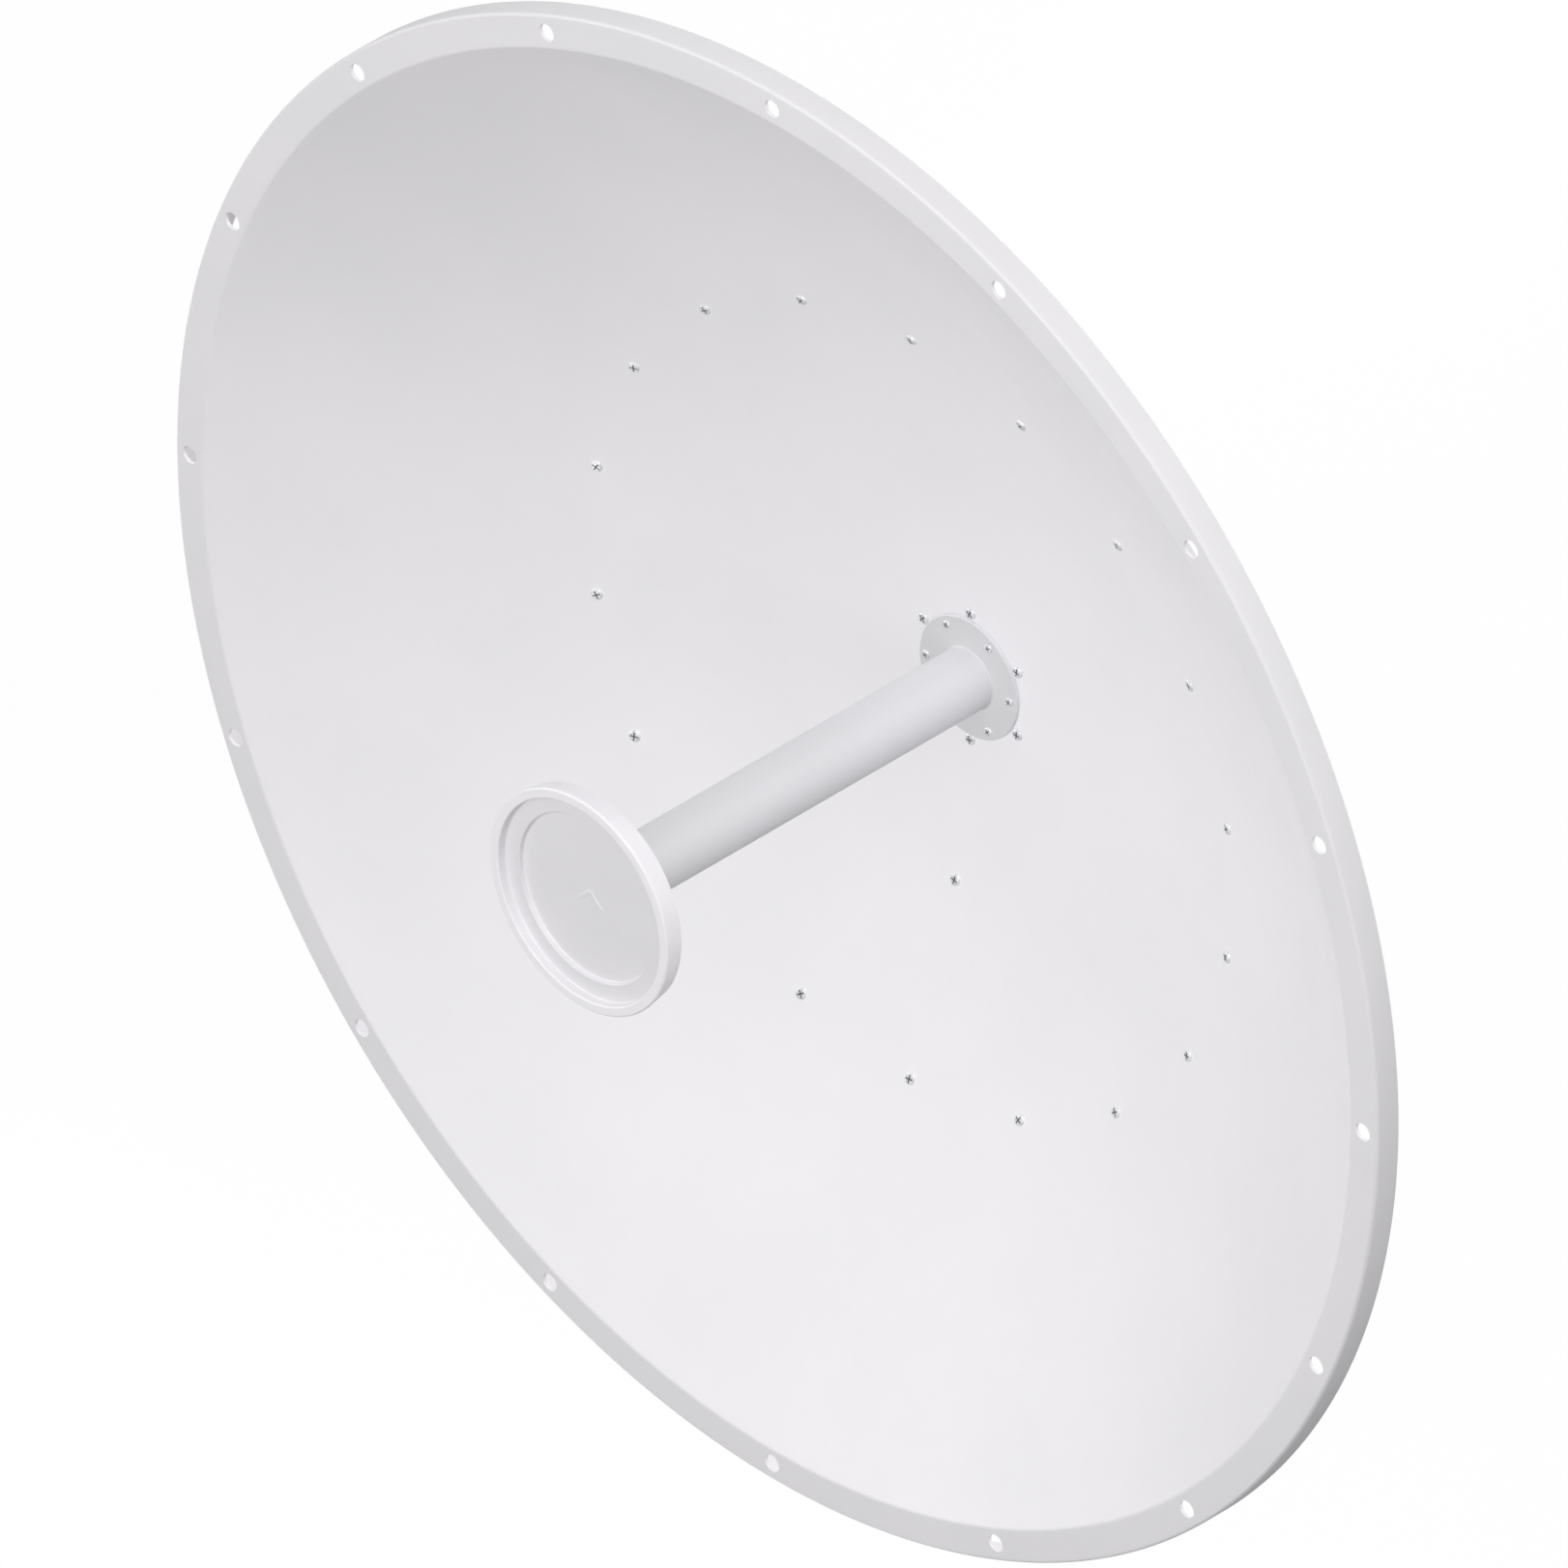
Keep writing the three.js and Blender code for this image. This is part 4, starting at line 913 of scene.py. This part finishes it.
lo, hi, c = cad("azimuth_lock_bolt")
add("azimuth_lock_bolt_fine", m8_z, "azimuth_head", ZINC, ["azimuth_lock_bolt"], to_axis("+z", (c.x, c.y, hi.z - 5.12)) @ Matrix.Rotation(rad(50), 4, "Y"))
lo, hi, c = cad("azimuth_lock_nut")
add("azimuth_lock_nut_fine", nut8, "azimuth_head", ZINC, ["azimuth_lock_nut"], to_axis("-z", (c.x, c.y, hi.z)) @ Matrix.Rotation(rad(2), 4, "Y"))

# ------------------------------------------------------------------ elevation adjuster
lo, hi, c = cad("elevation_rod")
eye = turned("eye", rounded([(5.35, -8, .6), (9.5, -8, 1.2), (9.5, 8, 1.2), (5.35, 8, .6)], seg=4), 64)
eye.transform(T(0, EL_Y, ROD_Z) @ Matrix.Rotation(math.pi / 2, 4, "Z"))
neck = turned("neck", rounded([(0, -12.0), (4.9, -12.0, .5), (5.4, -8.0, 1), (5.4, 0, 0), (0, 0)], closed=False, support=0), 40, False)
neck.transform(T(0, EL_Y, ROD_Z))
neck = boolean(neck, moved(turned("c", [(0, -12), (5.9, -12), (5.9, 12), (0, 12)], 40, False), T(0, EL_Y, ROD_Z) @ Matrix.Rotation(math.pi / 2, 4, "Z")))
shank = threaded(4.0, 1.25, lo.y, EL_Y - 11.5, 24, base=0.9)
shank.transform(T(0, 0, ROD_Z))
rod = merged("elevation_rod_fine", [eye, neck, shank])
add("elevation_rod_fine", rod, "elevation_adjuster", ZINC, ["elevation_rod"])
lo, hi, c = cad("elevation_rod_pin")
pin = turned("elevation_rod_pin_fine", rounded([(0, lo.x), (4.1, lo.x, .2), (4.98, lo.x + 1.0, .3), (4.98, lo.x + 2.6, .1), (4.5, lo.x + 2.8, .05), (4.5, lo.x + 4.0, .05), (4.98, lo.x + 4.2, .1),
                                                (4.98, hi.x - 4.2, .1), (4.5, hi.x - 4.0, .05), (4.5, hi.x - 2.8, .05), (4.98, hi.x - 2.6, .1), (4.98, hi.x - 1.0, .3), (4.1, hi.x, .2), (0, hi.x)], closed=False, seg=3, support=0), 48, False)
pin.transform(T(0, c.y, c.z) @ Matrix.Rotation(-math.pi / 2, 4, "Z"))
add("elevation_rod_pin_fine", pin, "elevation_adjuster", ZINC, ["elevation_rod_pin"])
for word in ("rear", "front"):
    lo, hi, c = cad(f"adjuster_nut_{word}")
    rear_side = word == "rear"
    add(f"adjuster_nut_{word}_fine", nut8, "dish", ZINC, [f"adjuster_nut_{word}"],
        to_axis("+y" if rear_side else "-y", (c.x, lo.y if rear_side else hi.y, c.z)) @ Matrix.Rotation(rad(14 if rear_side else 33), 4, "Y"))

# ------------------------------------------------------------------ azimuth bracket
AZ_H = 84.7
lo, hi, c = cad("azimuth_bracket")
cheek = rounded([(-110, -60, 6), (-102, -AZ_H + 0.6, 3), (-73.5, -AZ_H + 0.6), (-73.5, AZ_H - 0.6), (-106, AZ_H - 0.6, 3), (-112, 70, 6), (-112, -40, 8)], seg=5, support=0)
pin_slot = [(EL_Y + 5.4 * math.cos(rad(180 * i / 12)), ROD_Z + 5.4 * math.sin(rad(180 * i / 12))) for i in range(13)] + [(EL_Y + 5.4 * math.cos(rad(180 + 180 * i / 12)), ROD_Z - 1.6 + 5.4 * math.sin(rad(180 + 180 * i / 12))) for i in range(13)]
az_y = cad("azimuth_pivot_bolt_upper")[2].y
lid = rounded([(-40, -74), (-40, -100, 6), (-30, -118, 5), (-18, -124, 6), (18, -124, 6), (30, -118, 5), (40, -100, 6), (40, -74)], seg=5, support=0)
lid_low = rounded([(-40, -74), (-40, -98, 5), (-28, -106, 5), (28, -106, 5), (40, -98, 5), (40, -74)], seg=5, support=0)
parts = []
for x in (-40, 36):
    parts.append(plate(cheek, x, x + 4, "x", [circle(EL_Y, EL_Z, 5.3, 36), circle(EL_Y, z_lock, 4.4, 28), pin_slot], bevel=0.4))
parts.append(plate(rounded([(-40, -AZ_H, 1), (40, -AZ_H, 1), (40, AZ_H, 1), (-40, AZ_H, 1)], seg=2, support=0), -76, -72, "y",
                   [rounded([(-20, -58, 5), (20, -58, 5), (20, 40, 5), (-20, 40, 5)], seg=6, support=0)], bevel=0.4))
parts.append(plate(lid, AZ_H - 4, AZ_H, "z", [circle(0, az_y, 5.3, 36), circle(0, az_y - 24, 4.4, 28)], bevel=0.4))
parts.append(plate(lid_low, -AZ_H, -AZ_H + 4, "z", [circle(0, az_y, 5.3, 36)], bevel=0.4))
for sx in (-1, 1):
    for sz in (-1, 1):
        y_end = -100 if sz > 0 else -97
        parts.append(bead((sx * 35.8, -77, sz * (AZ_H - 4.2)), (sx * 35.8, y_end, sz * (AZ_H - 4.2)), 1.9, seed=seed))
        seed += 0.71
    parts.append(bead((sx * 35.8, -76.2, -AZ_H + 8), (sx * 35.8, -76.2, AZ_H - 8), 1.9, seed=seed))
    seed += 0.37
add("azimuth_bracket_fine", merged("azimuth_bracket_fine", parts), "azimuth_head", GALV, ["azimuth_bracket"])

# ------------------------------------------------------------------ pole bracket
V_Y = 38 / math.sin(math.pi / 3)
END = -16.0


def toothed(x0, y0, x1, y1, pitch=3.4, depth=1.0):
    """Points of a toothed edge from one point to another; the teeth stay behind the line."""
    L = math.hypot(x1 - x0, y1 - y0)
    n = int(L / pitch)
    ux, uy = (x1 - x0) / L, (y1 - y0) / L
    px, py = uy, -ux
    out = []
    for i in range(n):
        for f, d in ((0.0, 0.0), (0.34, 0.0), (0.67, depth)):
            s = (i + f) * L / n
            out.append((x0 + ux * s + px * d, y0 + uy * s + py * d))
    out.append((x1, y1))
    return out


def vx(y):
    return (y + V_Y) * math.tan(math.pi / 3)


right_flank = toothed(vx(END) - 1.0, END - 0.6, 2.5, -V_Y + 2.5 / math.tan(math.pi / 3))
right_flank = [p for p in right_flank]
left_flank = [(-x, y) for x, y in reversed(right_flank)]
saddle_outline = [(-60, -49), (60, -49), (60, END - 2), (58, END), (vx(END) + 0.5, END)] + right_flank + left_flank + [(-vx(END) - 0.5, END), (-58, END), (-60, END - 2)]
tab = rounded([(-30, -49), (-30, -110, 6), (-20, -124, 6), (20, -124, 6), (30, -110, 6), (30, -49)], seg=5, support=0)
tab_low = rounded([(-30, -49), (-30, -98, 5), (-20, -106, 5), (20, -106, 5), (30, -98, 5), (30, -49)], seg=5, support=0)
az_slot = slot_hole(0, az_y, 24, -90, 10, 4.5)
clamp_holes = [circle(sx * 52, sz * 75, 4.4, 24) for sx in (-1, 1) for sz in (-1, 1)]
parts = [plate(rounded([(-62, -95, 5), (62, -95, 5), (62, 95, 5), (-62, 95, 5)], seg=5, support=0), -50, -46, "y", [rounded([(-24, -42, 6), (24, -42, 6), (24, 42, 6), (-24, 42, 6)], seg=6, support=0), *clamp_holes], bevel=0.45)]
for s in (-1, 1):
    zz = lambda a, b: (a, b) if s > 0 else (-b, -a)
    parts.append(plate(saddle_outline, *zz(85, 90), "z", bevel=0.25, res=1))
    parts.append(plate(saddle_outline, *zz(57, 62), "z", bevel=0.25, res=1))
    parts.append(plate(tab if s > 0 else tab_low, *zz(85, 90), "z", [circle(0, az_y, 5.3, 36)] + ([az_slot] if s > 0 else []), bevel=0.45))
    for z in (84.8, 90.2):
        parts.append(bead((-28, -50.2, s * z), (28, -50.2, s * z), 1.9, seed=seed)); seed += 0.9
    for z in (56.8, 62.2):
        parts.append(bead((-57, -45.8, s * z), (-30, -45.8, s * z), 1.9, seed=seed)); seed += 0.9
        parts.append(bead((30, -45.8, s * z), (57, -45.8, s * z), 1.9, seed=seed)); seed += 0.9
add("pole_bracket_fine", merged("pole_bracket_fine", parts), "pole_clamp", GALV, ["pole_bracket"])

# ------------------------------------------------------------------ clamps
wing = V_Y - 40 / math.tan(math.pi / 3)
outer = V_Y + 5 / math.cos(math.pi / 6)
bend = (outer - wing - 5) * math.tan(math.pi / 3)
flank = toothed(2.5, V_Y - 2.5 / math.tan(math.pi / 3), 38.5, wing + 1.5 / math.tan(math.pi / 3), 3.2, -0.8)
inner = [(-x, y) for x, y in reversed(flank)] + flank
outer_line = rounded([(42, wing, 2), (66, wing, .8), (66, wing + 5, .8), (bend, wing + 5, 6), (0, outer, 8), (-bend, wing + 5, 6), (-66, wing + 5, .8), (-66, wing, .8), (-42, wing, 2)], closed=False, seg=6, support=0)
jaw_outline = inner + [(40.0, wing)] + outer_line + [(-40.0, wing)]
for word, sz in (("upper", 1), ("lower", -1)):
    lo, hi, c = cad(f"clamp_jaw_{word}")
    jaw = plate(jaw_outline, lo.z, hi.z, "z", bevel=0.35, res=2)
    holes = []
    for sx in (-1, 1):
        holes.append(moved(turned("c", [(0, wing - 6), (4.6, wing - 6), (4.6, wing + 12), (0, wing + 12)], 32, False), T(sx * 52, 0, c.z)))
    jaw = shade(boolean(jaw, merged("h", holes)), 40)
    body = f"{word}_jaw"
    add(f"clamp_jaw_{word}_fine", jaw, body, GALV, [f"clamp_jaw_{word}"])
carriage = None
for word in ("upper", "lower"):
    for side in ("left", "right"):
        lo, hi, c = cad(f"clamp_bolt_{word}_{side}")
        if carriage is None:
            L = hi.y - (lo.y + 4.0)
            head = turned("dome", rounded([(0, -4.2), (4.5, -3.9, 4), (8.6, -1.2, 1.2), (9.0, 0, .2), (0, 0)], closed=False, seg=7, support=0), 48, False, 50)
            square = block(-4.0, 4.0, -0.2, 3.6, -4.0, 4.0, 0.3)
            plain = turned("plain", [(0, 3.0), (3.95, 3.0), (3.95, 40.0), (0, 40.0)], 32, False)
            carriage = merged("carriage_bolt", [head, square, plain, threaded(4.0, 1.25, 39.8, L, 24, tip=0.9)])
            carriage.materials.append(ZINC)
        add(f"clamp_bolt_{word}_{side}_fine", carriage, "pole_clamp", ZINC, [f"clamp_bolt_{word}_{side}"], Matrix.Translation(Vector((c.x, lo.y + 4.0, c.z)) * MM))
        lo, hi, c = cad(f"clamp_nut_{word}_{side}")
        add(f"clamp_nut_{word}_{side}_fine", nut8, f"{word}_jaw", ZINC, [f"clamp_nut_{word}_{side}"],
            to_axis("+y", (c.x, lo.y, c.z)) @ Matrix.Rotation(rad(19 if side == "left" else 47), 4, "Y"))

# ------------------------------------------------------------------ floor, world and lights
FLOOR_Z = -1.45
fm = bpy.data.materials.new("floor")
fm.use_nodes = True
nt = fm.node_tree
fb_ = nt.nodes["Principled BSDF"]
fb_.inputs["Base Color"].default_value = (0.3, 0.3, 0.3, 1)
fb_.inputs["Roughness"].default_value = 0.9
fb_.inputs["Specular IOR Level"].default_value = 0.0
tc = nt.nodes.new("ShaderNodeTexCoord")
pale = node(nt, "ShaderNodeEmission", Strength=1.0)
nt.links.new(ramp(nt, noise(nt, tc.outputs["Object"], 0.7, 3.0), [(0.3, (0.985, 0.985, 0.985)), (0.7, (1.0, 1.0, 1.0))]), pale.inputs["Color"])
lp = nt.nodes.new("ShaderNodeLightPath")
mix = nt.nodes.new("ShaderNodeMixShader")
nt.links.new(lp.outputs["Is Camera Ray"], mix.inputs[0])
nt.links.new(fb_.outputs[0], mix.inputs[1])
nt.links.new(pale.outputs[0], mix.inputs[2])
nt.links.new(mix.outputs[0], nt.nodes["Material Output"].inputs["Surface"])
fl = bpy.data.meshes.new("floor")
fl.from_pydata([(-300, -300, FLOOR_Z), (300, -300, FLOOR_Z), (300, 300, FLOOR_Z), (-300, 300, FLOOR_Z)], [], [(0, 1, 2, 3)])
fl.materials.append(fm)
floor = bpy.data.objects.new("floor", fl)
scene.collection.objects.link(floor)

world = bpy.data.worlds.new("studio")
scene.world = world
world.use_nodes = True
wn = world.node_tree
bg = wn.nodes["Background"]
bg.inputs["Color"].default_value = (1.0, 1.0, 1.0, 1)
seen = wn.nodes.new("ShaderNodeBackground")
seen.inputs["Color"].default_value = (1.0, 1.0, 1.0, 1)
seen.inputs["Strength"].default_value = 1.0
wlp = wn.nodes.new("ShaderNodeLightPath")
wmix = wn.nodes.new("ShaderNodeMixShader")
wn.links.new(wlp.outputs["Is Camera Ray"], wmix.inputs[0])
wn.links.new(bg.outputs[0], wmix.inputs[1])
wn.links.new(seen.outputs[0], wmix.inputs[2])
wn.links.new(wmix.outputs[0], wn.nodes["World Output"].inputs["Surface"])




def heading(a, e):
    a, e = rad(a), rad(e)
    return (math.sin(a) * math.cos(e), -math.cos(a) * math.cos(e), math.sin(e))


# soft boxes all round: a broad lobe of light from each heading
wtc = wn.nodes.new("ShaderNodeTexCoord")
total = None
for direction, strength in ((heading(45, 20), 0.98), (heading(90, 20), 0.37), (heading(180, 25), 0.70), (heading(-90, 20), 0.09)):
    dot = wn.nodes.new("ShaderNodeVectorMath")
    dot.operation = "DOT_PRODUCT"
    dot.inputs[1].default_value = direction
    wn.links.new(wtc.outputs["Generated"], dot.inputs[0])
    clip, lobe, gain = (wn.nodes.new("ShaderNodeMath") for _ in range(3))
    clip.operation, lobe.operation = "MAXIMUM", "POWER"
    gain.operation = "MULTIPLY_ADD"
    clip.inputs[1].default_value, lobe.inputs[1].default_value = 0.0, 3.0
    gain.inputs[1].default_value, gain.inputs[2].default_value = strength, 0.0
    wn.links.new(dot.outputs["Value"], clip.inputs[0])
    wn.links.new(clip.outputs[0], lobe.inputs[0])
    wn.links.new(lobe.outputs[0], gain.inputs[0])
    if total is not None:
        wn.links.new(total, gain.inputs[2])
    total = gain.outputs[0]
wn.links.new(total, bg.inputs["Strength"])


def place_light(name, kind, direction, energy, **values):
    d = Vector(direction).normalized()
    data = bpy.data.lights.new(name, kind)
    data.energy = energy
    for k, v in values.items():
        setattr(data, k, v)
    data.use_shadow = False         # fill light all round, as in a light tent
    o = bpy.data.objects.new(name, data)
    scene.collection.objects.link(o)
    o.rotation_mode = "QUATERNION"
    o.rotation_quaternion = d.to_track_quat("Z", "Y")
    return o


place_light("soft_left", "SUN", heading(-60, 14), 1.284, angle=0.35)
place_light("soft_top", "SUN", heading(90, 60), 1.657, angle=0.35)
place_light("soft_low", "SUN", heading(0, -40), 0.578, angle=0.35)
place_light("soft_side", "SUN", heading(-90, 5), 0.32, angle=0.35)
back_light = place_light("soft_back", "SUN", heading(-165, 8), 0.8, angle=0.30)
back_light.data.use_shadow = True   # stays behind the dish
centre = Vector((DISH.x, DISH.y, DISH.z)) * MM
for name, p, size, power in (("panel_left", (-0.7, -2.0, 1.0), 1.2, 4.4), ("panel_right", (0.6, -1.6, 1.4), 1.0, 6.5)):
    o = place_light(name, "AREA", p, power, shape="DISK", size=size)
    o.location = centre + Vector(p)
spot = place_light("bowl_spot", "SPOT", (0, -3.0, 0.2), 49.4, spot_size=rad(26), spot_blend=1.0, shadow_soft_size=0.3)
spot.location = centre + Vector((0, -3.0, 0.2))

scene.view_settings.view_transform = "Standard"
scene.view_settings.look = "None"
scene.view_settings.exposure = 0.0
scene.view_settings.gamma = 1.0
